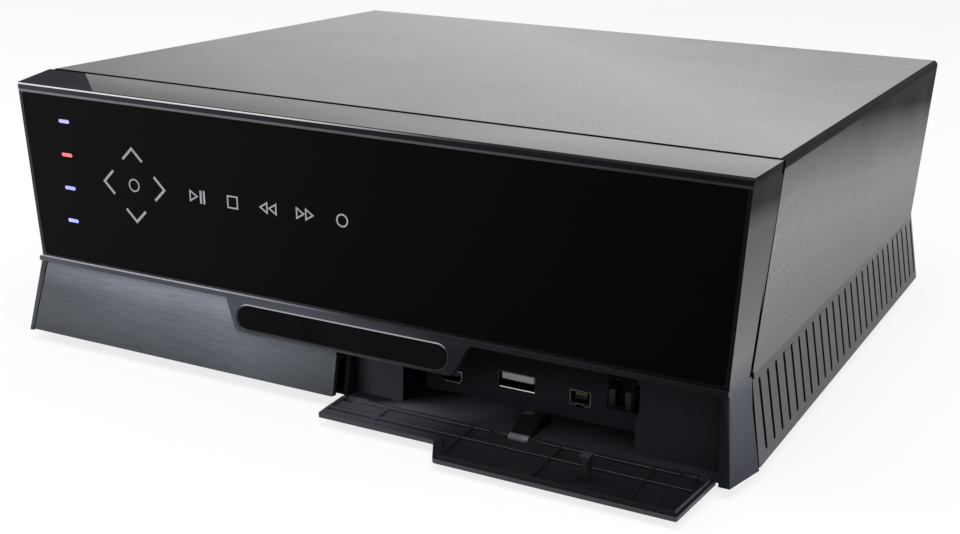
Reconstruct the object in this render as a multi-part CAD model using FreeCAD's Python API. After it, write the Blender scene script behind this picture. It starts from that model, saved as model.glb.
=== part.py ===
"""Desktop media recorder: a black set-top box whose front and sides pinch in at a low waist
and flare out again at the foot, with touch keys behind a gloss window, a fold-down flap over
the front sockets and a pull-out tray that carries a 2.5 inch hard drive.

Units are millimetres. While it is modelled, X runs to the right, Y to the rear and Z up, with
y = 0 at the front top edge of the bezel and z = 0 at the under edge of the case. The finished
pieces are then moved so that the origin is the middle of the footprint, on the table.
"""
import FreeCAD, Part
import math
import os
from FreeCAD import Vector

# ---- case form ---------------------------------------------------------------------------
TOP_HALF = 130.0          # half the width of the case at its top
WAIST_PINCH = 3.8         # the sides draw in this much down to the waist
FOOT_FLARE = 5.0          # and out again this much down to the foot
WAIST_HALF = TOP_HALF - WAIST_PINCH
FOOT_HALF = WAIST_HALF + FOOT_FLARE
CASE_TOP = 89.2           # height of the cover above the under edge
WAIST_Z = 26.8            # height of the waist
REAR_Y = 230.0            # rear edge of the cover
SEAM_TOP_Y = 19.6         # joint between bezel and cover, at the top
SEAM_WAIST_Y = 17.3
SEAM_FOOT_Y = 15.1
SEAM_GAP = 0.35
FRONT_TOP_DROP = 1.9      # front top edge of the bezel, below the cover's level
FRONT_TOP_Z = CASE_TOP - FRONT_TOP_DROP
FRONT_TOP_DRAFT = 2.6     # the bezel narrows this much from the seam to its front edges
FRONT_WAIST_DRAFT = 2.1
FRONT_FOOT_DRAFT = 3.4
FRONT_TOP_HALF = TOP_HALF - FRONT_TOP_DRAFT
FRONT_WAIST_HALF = WAIST_HALF - FRONT_WAIST_DRAFT
FRONT_FOOT_HALF = FOOT_HALF - FRONT_FOOT_DRAFT
FRONT_WAIST_Y = 3.2       # the front leans back down to the waist
FRONT_FOOT_Y = -1.5       # and forward again down to the foot
SHEET = 1.0               # steel of the cover, pan and rear panel
FOLD = 1.8                # outside radius of the cover's folded top edges
FIT = 0.3                 # air between pieces that are not fastened to each other

# ---- bezel, window and badge -------------------------------------------------------------
BEZEL_WALL = 1.5
BEZEL_FRONT = 4.2
LIP_LENGTH = 6.0          # tongue of the bezel that runs in under the cover
BEAD_HEIGHT = 1.6         # raised bar under the window
WINDOW_RIM = 1.3          # bezel left at each side of the window
WINDOW_TOP_RIM = 3.0
WINDOW_FOOT_RIM = 0.7
WINDOW_THICK = 2.5
WINDOW_SUNK = 0.2
WINDOW_LEDGE = 3.0        # width of the ledge that the window is glued to
WINDOW_CORNER = 1.3
TAB_TOP_HALF = 44.6       # hanging tab that carries the badge
TAB_FOOT_HALF = 39.6
TAB_DROP = 10.4
TAB_PROUD = 1.2           # of the flap's plane, for the tab and the bar above it
TAB_ROOT_RADIUS = 3.0     # hollow corner where the tab's right side runs into the bar
TAB_BACK = 1.6
BADGE_LENGTH = 77.0
BADGE_HEIGHT = 7.6
BADGE_CENTRE_X = -1.0
BADGE_DEPTH = 1.0
CHEEK_LEFT_TOP = 2.0
CHEEK_LEFT_FOOT = 1.4
CHEEK_RIGHT_TOP = 2.2
CHEEK_RIGHT_FOOT = 3.4
PANEL_GAP = 0.4           # air round the fascia and the flap

# ---- front electronics -------------------------------------------------------------------
BOARD = 1.6               # thickness of every circuit board
KEY_BOARD_INSET = 4.1     # from the side of the bezel at its waist
KEY_BOARD_LEFT = KEY_BOARD_INSET - FRONT_WAIST_HALF
KEY_BOARD_RIGHT = 24.0
KEY_BOARD_MARGIN = 4.5
LIGHT_COLUMN_INSET = 15.5
LIGHT_COLUMN_X = LIGHT_COLUMN_INSET - FRONT_WAIST_HALF
LIGHT_TOP_T = 0.81        # share of the window's slope at which the top light sits
LIGHT_PITCH_T = 0.19
LIGHT_COUNT = 4
LIGHT_WIDE = 4.2
LIGHT_HIGH = 2.4
RECEIVER_X = 10.0
RECEIVER_HALF = 3.0
RECEIVER_FOOT = 26.0      # up the window's slope

# ---- socket recess -----------------------------------------------------------------------
RECESS_LEFT = 1.0
RECESS_WALL = 1.5
NEAR_WALL_Y = 5.6
DEEP_WALL_Y = 20.2
DEEP_LEFT_X = 19.7
DEEP_RIGHT_X = 96.7
RECESS_FLOOR = 1.0
RECESS_CEILING = 1.0
RECESS_TOP = 25.0
IO_BOARD_TOP = 4.0
IO_BOARD_LEFT = 24.0
IO_BOARD_RIGHT = 82.0
IO_BOARD_DEPTH = 46.0
IO_LEDGE = 4.0            # width of the ribs that carry the board
MINI_USB = (28.7, 6.4, 7.7, 3.9, 9.0)     # centre x, centre z, width, height, depth
USB_A = (51.6, 9.0, 13.1, 5.7, 14.0)
DV_PORT = (73.0, 7.9, 6.8, 5.0, 8.0)
SOCKET_SHELL = 0.35
SOCKET_SET_BACK = 0.2

# ---- flap --------------------------------------------------------------------------------
HINGE_Y = -1.1
HINGE_Z = 0.5
HINGE_BARREL = 1.5
HINGE_PIN = 0.7
HINGE_RUN = 0.05          # running clearance of the pin
HINGE_GAP = 1.6           # room over the arm and the lugs, above their barrels
FLAP_OPEN_ANGLE = 102.8   # from the closed plane down to the open stop
FLAP_THICK = 1.4
FLAP_LONG = 24.6          # hinge axis to the free edge
FLAP_SHORT = 14.2         # the same under the badge tab
FLAP_ROOT = 0.2           # plate below the hinge axis
FLAP_FOOT_BAR = 1.6       # the rim keeps off the hinge side by this times its inset
FLAP_RIB = 1.0
FLAP_RIB_WIDTH = 0.8
FLAP_RIB_INSET = 1.1
FLAP_RIB_COUNT = 4
FLAP_MIDDLE_RIB = 9.6
FLAP_LEFT = 1.9
FLAP_STEP_X = 41.4
FLAP_SLOPE_X = 46.9
FLAP_AIR_TOP = 0.6        # between the flap's right edge and the cheek
FLAP_AIR_FOOT = 0.8
FLAP_RIGHT_TOP = FRONT_WAIST_HALF - CHEEK_RIGHT_TOP - FLAP_AIR_TOP
FLAP_RIGHT_FOOT = FRONT_FOOT_HALF - CHEEK_RIGHT_FOOT - FLAP_AIR_FOOT
ARM_LEFT = 60.0
ARM_RIGHT = 66.6
ARM_EAR = 4.6             # width of each hinge ear of the flap
LUG_WIDTH = 3.0
LUG_INSET = 1.6           # end lug, in from the flap's end
ARM_TOP = 5.0
ARM_TOP_Y = 10.8
ARM_REAR_Y = 15.0
HOOK_X = 92.0
HOOK_FROM_HINGE = 16.8
HOOK_REACH = 8.2
HOOK_WIDTH = 3.6
HOOK_THICK = 1.9
HOOK_BARB = 0.9

# ---- flap catch --------------------------------------------------------------------------
CATCH_WIDTH = 11.0
CATCH_HEIGHT = 10.0
CATCH_FRONT_Y = 8.4
CATCH_REAR_Y = 26.0
CATCH_WALL = 1.2
CATCH_TRAVEL = 2.5
SPRING_RADIUS = 2.2
SPRING_WIRE = 0.5
SPRING_SEAT = 5.0         # depth of the spring's bore in the plunger
JAW_THICK = 1.2
JAW_OPENING = 4.4
JAW_HEIGHT = 5.4
JAW_REACH = 4.2

# ---- drive tray --------------------------------------------------------------------------
FASCIA_THICK = 2.0
FASCIA_FOOT = 0.5
DRIVE_WIDTH = 69.85       # the 2.5 inch drive format
DRIVE_LENGTH = 100.35
DRIVE_HEIGHT = 9.5
DRIVE_LID = 0.9
DRIVE_BOARD_DROP = 1.1
DRIVE_BOARD_LENGTH = 53.0
DRIVE_BOARD_FROM_REAR = 9.0
DRIVE_FROM_FRONT = 12.0
TRAY_FROM_SIDE = 63.8     # centre line of the tray, from the left end of the bezel's foot
TRAY_CENTRE_X = TRAY_FROM_SIDE - FRONT_FOOT_HALF
TRAY_SIDE_AIR = 0.3
TRAY_SHEET = 1.0
TRAY_FLOOR_Z = 2.0
TRAY_SIDE_HEIGHT = 8.0
TRAY_FRONT_HEIGHT = 9.0
RUNNER_THICK = 2.4
RUNNER_HEIGHT = 3.6
RUNNER_Z = 5.2
RAIL_SHEET = 0.9
RAIL_FLANGE = 9.0
RAIL_CLEARANCE = 0.3
TRAY_TRAVEL = 100.0
SATA_WIDTH = 37.0
SATA_HEIGHT = 4.6
SATA_DEPTH = 5.0
BACKPLANE_HEIGHT = 20.0
BACKPLANE_MARGIN = 8.0

# ---- main board and rear -----------------------------------------------------------------
MAIN_BOARD_TOP = 8.6
MAIN_BOARD_WIDE = 186.0
MAIN_BOARD_SIDE_AIR = 6.2
MAIN_BOARD_RIGHT = WAIST_HALF - MAIN_BOARD_SIDE_AIR
MAIN_BOARD_LEFT = MAIN_BOARD_RIGHT - MAIN_BOARD_WIDE
MAIN_BOARD_FRONT = 134.0
MAIN_BOARD_REAR_AIR = 2.0
STANDOFF_RADIUS = 3.0
STANDOFF_INSET = 6.0
SCREW_RADIUS = 1.5
SCREW_HEAD = 2.8
SCREW_HEAD_HEIGHT = 1.6
CHIP_FROM_RIGHT = 86.0
CHIP_X = MAIN_BOARD_RIGHT - CHIP_FROM_RIGHT
CHIP_SIZE = 27.0
CHIP_HEIGHT = 2.2
SINK_SIZE = 38.0
SINK_BASE = 2.5
SINK_HEIGHT = 16.0
SINK_FINS = 8
SINK_FIN = 1.2
SOCKET_PROUD = 0.6
ANTENNA_RADIUS = 4.8
TUNER_LONG = 42.0
FAN_SIZE = 50.0
FAN_DEPTH = 10.0
FAN_FROM_SIDE = 38.0
FAN_X = FAN_FROM_SIDE - TOP_HALF
FAN_BELOW_TOP = 41.2
FAN_Z = CASE_TOP - FAN_BELOW_TOP
FAN_TIP_AIR = 0.8
FAN_HUB = 10.0
FAN_BLADES = 7
FAN_PITCH = 38.0
FAN_CHORD = 4.6
FAN_SHAFT = 1.5
FAN_SCREW_BITE = 6.0
GRILLE_ROWS = 4           # slots above and below the middle one
GRILLE_PITCH = 4.8
GRILLE_SLOT = 2.8
FOOT_RADIUS = 8.0
FOOT_HEIGHT = 3.5
FOOT_INSET_X = 22.0
FOOT_INSET_FRONT = 34.0
FOOT_INSET_REAR = 22.0

# ---- vents -------------------------------------------------------------------------------
SLOT_COUNT = 26
SLOT_PITCH = 8.15
SLOT_WIDTH = 2.0
SLOT_FIRST_Y = 23.1
SLOT_LOW = 3.5
SLOT_HIGH = 24.7

# ---- worked out --------------------------------------------------------------------------
PANEL_REAR = REAR_Y - SHEET            # rear face of the rear panel
PANEL_FRONT = PANEL_REAR - SHEET
TRAY_HALF = DRIVE_WIDTH / 2 + TRAY_SIDE_AIR + TRAY_SHEET
DRIVE_BASE_Z = TRAY_FLOOR_Z + TRAY_SHEET + DRIVE_BOARD_DROP + FIT
CATCH_Z = HINGE_Z + HOOK_FROM_HINGE * math.cos(math.atan2(FRONT_WAIST_Y - FRONT_FOOT_Y, WAIST_Z))
parts = {}


# ---- small helpers -----------------------------------------------------------------------
def box(x0, x1, y0, y1, z0, z1):
    return Part.makeBox(x1 - x0, y1 - y0, z1 - z0, Vector(x0, y0, z0))


def rod(x, y, z, direction, radius, length):
    return Part.makeCylinder(radius, length, Vector(x, y, z), Vector(*direction))


def prism(base, direction, reach, length):
    """Six-sided bar from a point along a direction, reach being half its width across corners."""
    side = Vector(0, 0, 1) if abs(direction.z) < 0.5 else Vector(1, 0, 0)
    other = direction.cross(side)
    other.normalize()
    side = other.cross(direction)
    side.normalize()
    corners = []
    for i in range(6):
        angle = math.radians(60 * i)
        corners.append(base + side * (reach * math.cos(angle)) + other * (reach * math.sin(angle)))
    return Part.Face(Part.makePolygon(corners + corners[:1])).extrude(direction * length)


def hex_screw(seat, direction, shank, head_height):
    """Hexagon-headed screw: head outwards along the direction, shank the other way."""
    head = prism(seat, direction, SCREW_HEAD, head_height)
    if shank == 0.0:
        return head
    return head.fuse(Part.makeCylinder(SCREW_RADIUS, shank, seat, direction * -1))


def join(*shapes):
    return shapes[0].fuse(list(shapes[1:])).removeSplitter()


def outline(points, place):
    """Closed wire through (a, b) or (a, b, corner radius) points, put in space by place(a, b)."""
    edges = []
    ends = []
    count = len(points)
    for i in range(count):
        a, b = points[i][:2]
        radius = points[i][2] if len(points[i]) > 2 else 0.0
        if radius == 0.0:
            ends.append(((a, b), None, (a, b)))
            continue
        before = points[i - 1]
        after = points[(i + 1) % count]
        back = (before[0] - a, before[1] - b)
        ahead = (after[0] - a, after[1] - b)
        back_length = math.hypot(*back)
        ahead_length = math.hypot(*ahead)
        back = (back[0] / back_length, back[1] / back_length)
        ahead = (ahead[0] / ahead_length, ahead[1] / ahead_length)
        half = math.acos(back[0] * ahead[0] + back[1] * ahead[1]) / 2
        run = radius / math.tan(half)
        bisector = (back[0] + ahead[0], back[1] + ahead[1])
        bisector_length = math.hypot(*bisector)
        reach = (radius / math.sin(half) - radius) / bisector_length
        middle = (a + bisector[0] * reach, b + bisector[1] * reach)
        start = (a + back[0] * run, b + back[1] * run)
        finish = (a + ahead[0] * run, b + ahead[1] * run)
        ends.append((start, middle, finish))
    for i in range(count):
        start, middle, finish = ends[i]
        if middle is not None:
            edges.append(Part.Arc(place(*start), place(*middle), place(*finish)).toShape())
        edges.append(Part.makeLine(place(*finish), place(*ends[(i + 1) % count][0])))
    return Part.Wire(edges)


def slab(points, place, thickness_vector):
    return Part.Face(outline(points, place)).extrude(thickness_vector)


def along_x(points_yz, x0, x1):
    return slab(points_yz, lambda a, b: Vector(x0, a, b), Vector(x1 - x0, 0, 0))


def along_y(points_xz, y0, y1):
    return slab(points_xz, lambda a, b: Vector(a, y0, b), Vector(0, y1 - y0, 0))


def along_z(points_xy, z0, z1):
    return slab(points_xy, lambda a, b: Vector(a, b, z0), Vector(0, 0, z1 - z0))


# ---- the two planes of the front ---------------------------------------------------------
UPPER_SLOPE = math.hypot(FRONT_WAIST_Y, FRONT_TOP_Z - WAIST_Z)
LOWER_SLOPE = math.hypot(FRONT_WAIST_Y - FRONT_FOOT_Y, WAIST_Z)
UPPER_UP = Vector(0, -FRONT_WAIST_Y / UPPER_SLOPE, (FRONT_TOP_Z - WAIST_Z) / UPPER_SLOPE)
UPPER_IN = Vector(0, UPPER_UP.z, -UPPER_UP.y)
LOWER_UP = Vector(0, (FRONT_WAIST_Y - FRONT_FOOT_Y) / LOWER_SLOPE, WAIST_Z / LOWER_SLOPE)
LOWER_IN = Vector(0, LOWER_UP.z, -LOWER_UP.y)


def upper(x, s, depth=0.0):
    """Point on the window's plane: s up its slope from the waist, depth into the case."""
    return Vector(x, FRONT_WAIST_Y, WAIST_Z) + UPPER_UP * s + UPPER_IN * depth


def lower(x, s, depth=0.0):
    """Point on the flap's closed plane: s up its slope from the under edge."""
    return Vector(x, FRONT_FOOT_Y, 0) + LOWER_UP * s + LOWER_IN * depth


def upper_slab(points, depth, thick):
    return slab(points, lambda a, b: upper(a, b, depth), UPPER_IN * thick)


def lower_slab(points, depth, thick):
    return slab(points, lambda a, b: lower(a, b, depth), LOWER_IN * thick)


def front_half(s):
    """Half the bezel's width at a height s up the window's slope."""
    return FRONT_WAIST_HALF + (FRONT_TOP_HALF - FRONT_WAIST_HALF) * s / UPPER_SLOPE


def side_half(z):
    """Half the case's outside width at a height z."""
    if z > WAIST_Z:
        return WAIST_HALF + (TOP_HALF - WAIST_HALF) * (z - WAIST_Z) / (CASE_TOP - WAIST_Z)
    return WAIST_HALF + (FOOT_HALF - WAIST_HALF) * (WAIST_Z - z) / WAIST_Z


def waisted_block(side, top, front, rear, drop=0.0):
    """Block inside the bezel's form, drawn in from its sides, top and front.

    rear moves its back end past the seam, and drop carries its under side below the case.
    """
    def quad(half_high, y_high, z_high, half_low, y_low, z_low):
        corners = [Vector(-half_high, y_high, z_high), Vector(half_high, y_high, z_high),
                   Vector(half_low, y_low, z_low), Vector(-half_low, y_low, z_low)]
        return Part.makePolygon(corners + corners[:1])

    flare = (FOOT_HALF - WAIST_HALF) / WAIST_Z
    lean = (FRONT_WAIST_Y - FRONT_FOOT_Y) / WAIST_Z
    upper_part = Part.makeLoft([
        quad(FRONT_TOP_HALF - side, front, FRONT_TOP_Z - top,
             FRONT_WAIST_HALF - side, FRONT_WAIST_Y + front, WAIST_Z),
        quad(TOP_HALF - side, SEAM_TOP_Y + rear, CASE_TOP - top,
             WAIST_HALF - side, SEAM_WAIST_Y + rear, WAIST_Z)], True, True)
    lower_part = Part.makeLoft([
        quad(FRONT_WAIST_HALF - side, FRONT_WAIST_Y + front, WAIST_Z,
             FRONT_FOOT_HALF - side + flare * drop, FRONT_FOOT_Y + front - lean * drop, -drop),
        quad(WAIST_HALF - side, SEAM_WAIST_Y + rear, WAIST_Z,
             FOOT_HALF - side + flare * drop, SEAM_FOOT_Y + rear, -drop)], True, True)
    return upper_part.fuse(lower_part)


def case_points(inset, foot_z, fold):
    """Outline of the case seen from the front, drawn in by inset, as (x, z, radius) points."""
    high = CASE_TOP - inset
    return [(-side_half(high) + inset, high, fold), (side_half(high) - inset, high, fold),
            (WAIST_HALF - inset, WAIST_Z, 1.2), (side_half(foot_z) - inset, foot_z),
            (inset - side_half(foot_z), foot_z), (inset - WAIST_HALF, WAIST_Z, 1.2)]


# ---- casing ------------------------------------------------------------------------------
def make_cover():
    foot_z = 0.5
    shell = along_y(case_points(0.0, foot_z, FOLD), 0.0, REAR_Y)
    inside = along_y(case_points(SHEET, foot_z - 5.0, FOLD - SHEET), -1.0, REAR_Y + 1.0)
    flange = along_y(case_points(SHEET, CASE_TOP - 13.0, FOLD - SHEET)[:2]
                     + [(side_half(CASE_TOP - 13.0) - SHEET, CASE_TOP - 13.0),
                        (SHEET - side_half(CASE_TOP - 13.0), CASE_TOP - 13.0)],
                     PANEL_REAR, REAR_Y)
    ahead_of_seam = along_x([(-9, -9), (SEAM_FOOT_Y, -9), (SEAM_FOOT_Y, 0),
                             (SEAM_WAIST_Y, WAIST_Z), (SEAM_TOP_Y, CASE_TOP),
                             (SEAM_TOP_Y, CASE_TOP + 9), (-9, CASE_TOP + 9)],
                            -FOOT_HALF - 9, FOOT_HALF + 9)
    relief = along_x([(SEAM_WAIST_Y - 1, WAIST_Z - 1.0), (SEAM_WAIST_Y + 1.6, WAIST_Z - 1.0),
                      (SEAM_WAIST_Y + 1.6, WAIST_Z + 1.0), (SEAM_WAIST_Y - 1, WAIST_Z + 1.0)],
                     -FOOT_HALF - 9, FOOT_HALF + 9)
    slots = []
    for i in range(SLOT_COUNT):
        y = SLOT_FIRST_Y + i * SLOT_PITCH
        slots.append(box(-FOOT_HALF - 9, FOOT_HALF + 9, y - SLOT_WIDTH / 2, y + SLOT_WIDTH / 2,
                         SLOT_LOW, SLOT_HIGH))
    cover = shell.cut(inside).fuse(flange).removeSplitter()
    return cover.cut([ahead_of_seam, relief] + slots + cover_screw_holes(SCREW_RADIUS))


def cover_screw_places():
    reach = TOP_HALF - 14.0
    return [(x, CASE_TOP - 7.0) for x in (-reach, 0.0, reach)]


def cover_screw_holes(radius):
    return [rod(x, PANEL_FRONT - 9, z, (0, 1, 0), radius + FIT, 20)
            for x, z in cover_screw_places()]


def make_cover_screws():
    return Part.makeCompound([hex_screw(Vector(x, REAR_Y, z), Vector(0, 1, 0), 4.0, SCREW_HEAD_HEIGHT)
                              for x, z in cover_screw_places()])


def make_base_pan():
    half = side_half(0.0) - SHEET - FIT - 0.2
    front = FRONT_FOOT_Y + BEZEL_FRONT + 0.5
    lip_rear = SEAM_FOOT_Y + LIP_LENGTH + 1.0
    bezel_room = 4.4
    near_rear = NEAR_WALL_Y + RECESS_WALL + FIT
    deep_rear = DEEP_WALL_Y + RECESS_WALL + FIT
    deep_left = DEEP_LEFT_X - RECESS_WALL - FIT
    deep_right = DEEP_RIGHT_X + RECESS_WALL + FIT
    floor = along_z([(-half + bezel_room, front), (RECESS_LEFT - FIT, front), (RECESS_LEFT - FIT, near_rear),
                     (deep_left, near_rear), (deep_left, deep_rear), (deep_right, deep_rear),
                     (deep_right, near_rear), (half - bezel_room, near_rear), (half - bezel_room, lip_rear),
                     (half, lip_rear), (half, PANEL_REAR), (-half, PANEL_REAR), (-half, lip_rear),
                     (-half + bezel_room, lip_rear)], 0.0, SHEET)
    flange_high = SLOT_LOW - 0.6
    lean = (FOOT_HALF - WAIST_HALF) / WAIST_Z * flange_high
    flanges = []
    for side in (-1, 1):
        points = [(side * half, 0.0), (side * (half - lean), flange_high),
                  (side * (half - lean - SHEET), flange_high), (side * (half - SHEET), 0.0)]
        flanges.append(along_y(points, SEAM_FOOT_Y + LIP_LENGTH + 1 + 3.0, PANEL_FRONT - 4.0))
    vents = []
    for row in range(2):
        for i in range(9):
            x = -52.0 + i * 14.0
            y = 140.0 + row * 40.0
            vents.append(box(x, x + 3.0, y, y + 28.0, -1, SHEET + 1))
    return join(floor, *flanges).cut(vents)


def make_feet():
    feet = []
    for x in (-FOOT_HALF + FOOT_INSET_X, FOOT_HALF - FOOT_INSET_X):
        for y in (FOOT_INSET_FRONT, REAR_Y - FOOT_INSET_REAR):
            feet.append(Part.makeCylinder(FOOT_RADIUS, FOOT_HEIGHT, Vector(x, y, -FOOT_HEIGHT)))
    return Part.makeCompound(feet)


def rear_cutouts():
    """Openings of the rear panel, each a little larger than the socket that fills it."""
    cuts = []
    for x0, x1, z0, z1 in rear_windows():
        cuts.append(box(x0 - FIT, x1 + FIT, PANEL_FRONT - 1, PANEL_REAR + 1, z0 - FIT, z1 + FIT))
    x, z = antenna_place()
    cuts.append(rod(x, PANEL_FRONT - 1, z, (0, 1, 0), ANTENNA_RADIUS + FIT, 4))
    return cuts


def fan_grille():
    """Punched slots over the fan, as long as its bore is wide at their height."""
    reach = FAN_SIZE / 2 - 2.0
    slots = []
    for i in range(-GRILLE_ROWS, GRILLE_ROWS + 1):
        z = FAN_Z + i * GRILLE_PITCH
        half = math.sqrt(reach ** 2 - (i * GRILLE_PITCH) ** 2)
        for x0, x1 in ((FAN_X - half, FAN_X - 1.0), (FAN_X + 1.0, FAN_X + half)):
            slots.append(box(x0, x1, PANEL_FRONT - 1, PANEL_REAR + 1,
                             z - GRILLE_SLOT / 2, z + GRILLE_SLOT / 2))
    return slots


def make_rear_panel():
    inset = SHEET + FIT
    plate = along_y(case_points(inset, SHEET, FOLD - SHEET), PANEL_FRONT, PANEL_REAR)
    half = side_half(SHEET) - inset - 8.0
    flange = box(-half, half, PANEL_FRONT - 9.0, PANEL_FRONT, SHEET, 2 * SHEET)
    fan_holes = [rod(x, PANEL_FRONT - 1, z, (0, 1, 0), SCREW_RADIUS + FIT, 4) for x, z in fan_screw_places()]
    screw_holes = cover_screw_holes(SCREW_RADIUS)
    return join(plate, flange).cut(rear_cutouts() + fan_grille() + fan_holes + screw_holes)


def window_points(inset, radius):
    foot = WINDOW_FOOT_RIM + inset
    head = UPPER_SLOPE - WINDOW_TOP_RIM - inset
    side = WINDOW_RIM + inset
    return [(side - front_half(foot), foot, radius), (front_half(foot) - side, foot, radius),
            (front_half(head) - side, head, radius), (side - front_half(head), head, radius)]


def tab_points(grow):
    """Outline of the badge tab on the flap's plane, from the bead down, swelled by grow."""
    root = LOWER_SLOPE - BEAD_HEIGHT
    head = root + BEAD_HEIGHT / 2
    foot = root - TAB_DROP - grow
    top = TAB_TOP_HALF + grow
    low = TAB_FOOT_HALF + grow
    reach = top + 2 * TAB_ROOT_RADIUS
    return [(-top, head), (-top, root), (-low, foot, 2.5), (low, foot, 2.5),
            (top, root, TAB_ROOT_RADIUS), (reach, root), (reach, head)]


def badge_points(grow):
    middle = LOWER_SLOPE - BEAD_HEIGHT - TAB_DROP / 2 - 0.3
    half = BADGE_LENGTH / 2 + grow
    rise = BADGE_HEIGHT / 2 + grow
    end = rise * 0.998
    return [(BADGE_CENTRE_X - half, middle - rise, end), (BADGE_CENTRE_X + half, middle - rise, end),
            (BADGE_CENTRE_X + half, middle + rise, end), (BADGE_CENTRE_X - half, middle + rise, end)]


def lower_opening():
    """Opening between the cheeks, below the bead, that the fascia and the flap close."""
    head = WAIST_Z - BEAD_HEIGHT
    points = [(CHEEK_LEFT_TOP - FRONT_WAIST_HALF, head), (FRONT_WAIST_HALF - CHEEK_RIGHT_TOP, head),
              (FRONT_FOOT_HALF - CHEEK_RIGHT_FOOT + 0.2, -1.0),
              (CHEEK_LEFT_FOOT - FRONT_FOOT_HALF - 0.2, -1.0)]
    return along_y(points, -12.0, 8.0)


def make_bezel():
    inset = SHEET + FIT
    shell = waisted_block(0.0, 0.0, 0.0, -SEAM_GAP)
    lip = waisted_block(inset, inset, 8.0, LIP_LENGTH)
    hollow = waisted_block(inset + BEZEL_WALL, inset + BEZEL_WALL, BEZEL_FRONT, LIP_LENGTH + 20, 5.0)
    pocket = upper_slab(window_points(0.0, WINDOW_CORNER), -3.0, WINDOW_THICK + WINDOW_SUNK + 3.0)
    through = upper_slab(window_points(WINDOW_LEDGE, WINDOW_CORNER), -3.0, BEZEL_FRONT + 8.0)
    bead_half = FRONT_WAIST_HALF + 0.3
    bead_low = lower(0.0, (WAIST_Z - BEAD_HEIGHT + TAB_PROUD * LOWER_IN.z) / LOWER_UP.z, -TAB_PROUD)
    bead_high = lower(0.0, (WAIST_Z + TAB_PROUD * LOWER_IN.z) / LOWER_UP.z, -TAB_PROUD)
    bead = along_x([(FRONT_WAIST_Y + 1.0, bead_low.z), (bead_low.y, bead_low.z),
                    (bead_high.y, bead_high.z, 0.5), (FRONT_WAIST_Y + 1.0, bead_high.z)],
                   -bead_half, bead_half)
    tab = lower_slab(tab_points(0.0), -TAB_PROUD, TAB_PROUD + TAB_BACK)
    badge_seat = lower_slab(badge_points(0.1), -TAB_PROUD - 2.0, 2.0 + BADGE_DEPTH)
    body = shell.fuse(lip).cut([hollow, pocket, through, lower_opening()])
    body = body.fuse([bead, tab]).removeSplitter()
    return body.cut(badge_seat)


def make_window():
    return upper_slab(window_points(0.15, WINDOW_CORNER - 0.15), WINDOW_SUNK, WINDOW_THICK)


def make_badge():
    return lower_slab(badge_points(-0.1), BADGE_DEPTH - TAB_PROUD - 0.8, 0.8)


# ---- front electronics -------------------------------------------------------------------
def key_board_span():
    """Lower and upper edge of the key board, measured up the window's slope."""
    return WINDOW_FOOT_RIM + 0.5, UPPER_SLOPE - WINDOW_TOP_RIM - KEY_BOARD_MARGIN + WINDOW_LEDGE


def light_places():
    return [(LIGHT_COLUMN_X, (LIGHT_TOP_T - i * LIGHT_PITCH_T) * UPPER_SLOPE)
            for i in range(LIGHT_COUNT)]


def key_board_face():
    """Depth of the bezel's rear face, where the key board sits."""
    return BEZEL_FRONT * UPPER_IN.y


def make_key_board():
    foot, head = key_board_span()
    return upper_slab([(KEY_BOARD_LEFT, foot), (KEY_BOARD_RIGHT, foot),
                       (KEY_BOARD_RIGHT, head), (KEY_BOARD_LEFT, head)], key_board_face(), BOARD)


def make_key_board_screws():
    foot, head = key_board_span()
    places = [(x, s) for x in (KEY_BOARD_LEFT + 8.0, KEY_BOARD_RIGHT - 8.0) for s in (foot + 3.0, head - 3.0)]
    return Part.makeCompound([hex_screw(upper(x, s, key_board_face() + BOARD), UPPER_IN, 0.0,
                                        SCREW_HEAD_HEIGHT) for x, s in places])


def light_pipe(x, s, grow, depth, length):
    """Oblong block behind one lit sign of the window, swelled by grow."""
    wide = LIGHT_WIDE / 2 + grow
    high = LIGHT_HIGH / 2 + grow
    return upper_slab([(x - wide, s - high), (x + wide, s - high), (x + wide, s + high),
                       (x - wide, s + high)], depth, length)


def make_light_guide():
    guide_front = WINDOW_SUNK + WINDOW_THICK
    foot = WINDOW_FOOT_RIM + WINDOW_LEDGE + 0.5
    head = UPPER_SLOPE - WINDOW_TOP_RIM - WINDOW_LEDGE - 0.5
    left = WINDOW_RIM + WINDOW_LEDGE + 0.5 - front_half(foot)
    right = RECEIVER_X - RECEIVER_HALF - 1.0
    guide = upper_slab([(left, foot), (right, foot), (right, head), (left, head)],
                       guide_front, key_board_face() - guide_front)
    return guide.cut([light_pipe(x, s, FIT, 0.0, 9.0) for x, s in light_places()])


def make_lights():
    front = WINDOW_SUNK + WINDOW_THICK + 0.4
    return Part.makeCompound([light_pipe(x, s, 0.0, front, key_board_face() - front)
                              for x, s in light_places()])


def make_receiver():
    """Domed sensor for the remote control, on the key board behind the window."""
    head = RECEIVER_FOOT + 2 * RECEIVER_HALF
    points = [(RECEIVER_X - RECEIVER_HALF, RECEIVER_FOOT), (RECEIVER_X + RECEIVER_HALF, RECEIVER_FOOT),
              (RECEIVER_X + RECEIVER_HALF, head, RECEIVER_HALF - 0.1),
              (RECEIVER_X - RECEIVER_HALF, head, RECEIVER_HALF - 0.1)]
    return upper_slab(points, key_board_face() - 1.2, 1.2)


# ---- socket recess -----------------------------------------------------------------------
def cheek_block(clearance):
    """Room between the cheeks, behind the closed flap, for what sits inside the bezel."""
    return waisted_block(CHEEK_RIGHT_FOOT + clearance, 10.0, FLAP_THICK + 0.5, 30.0, 5.0)


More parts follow.
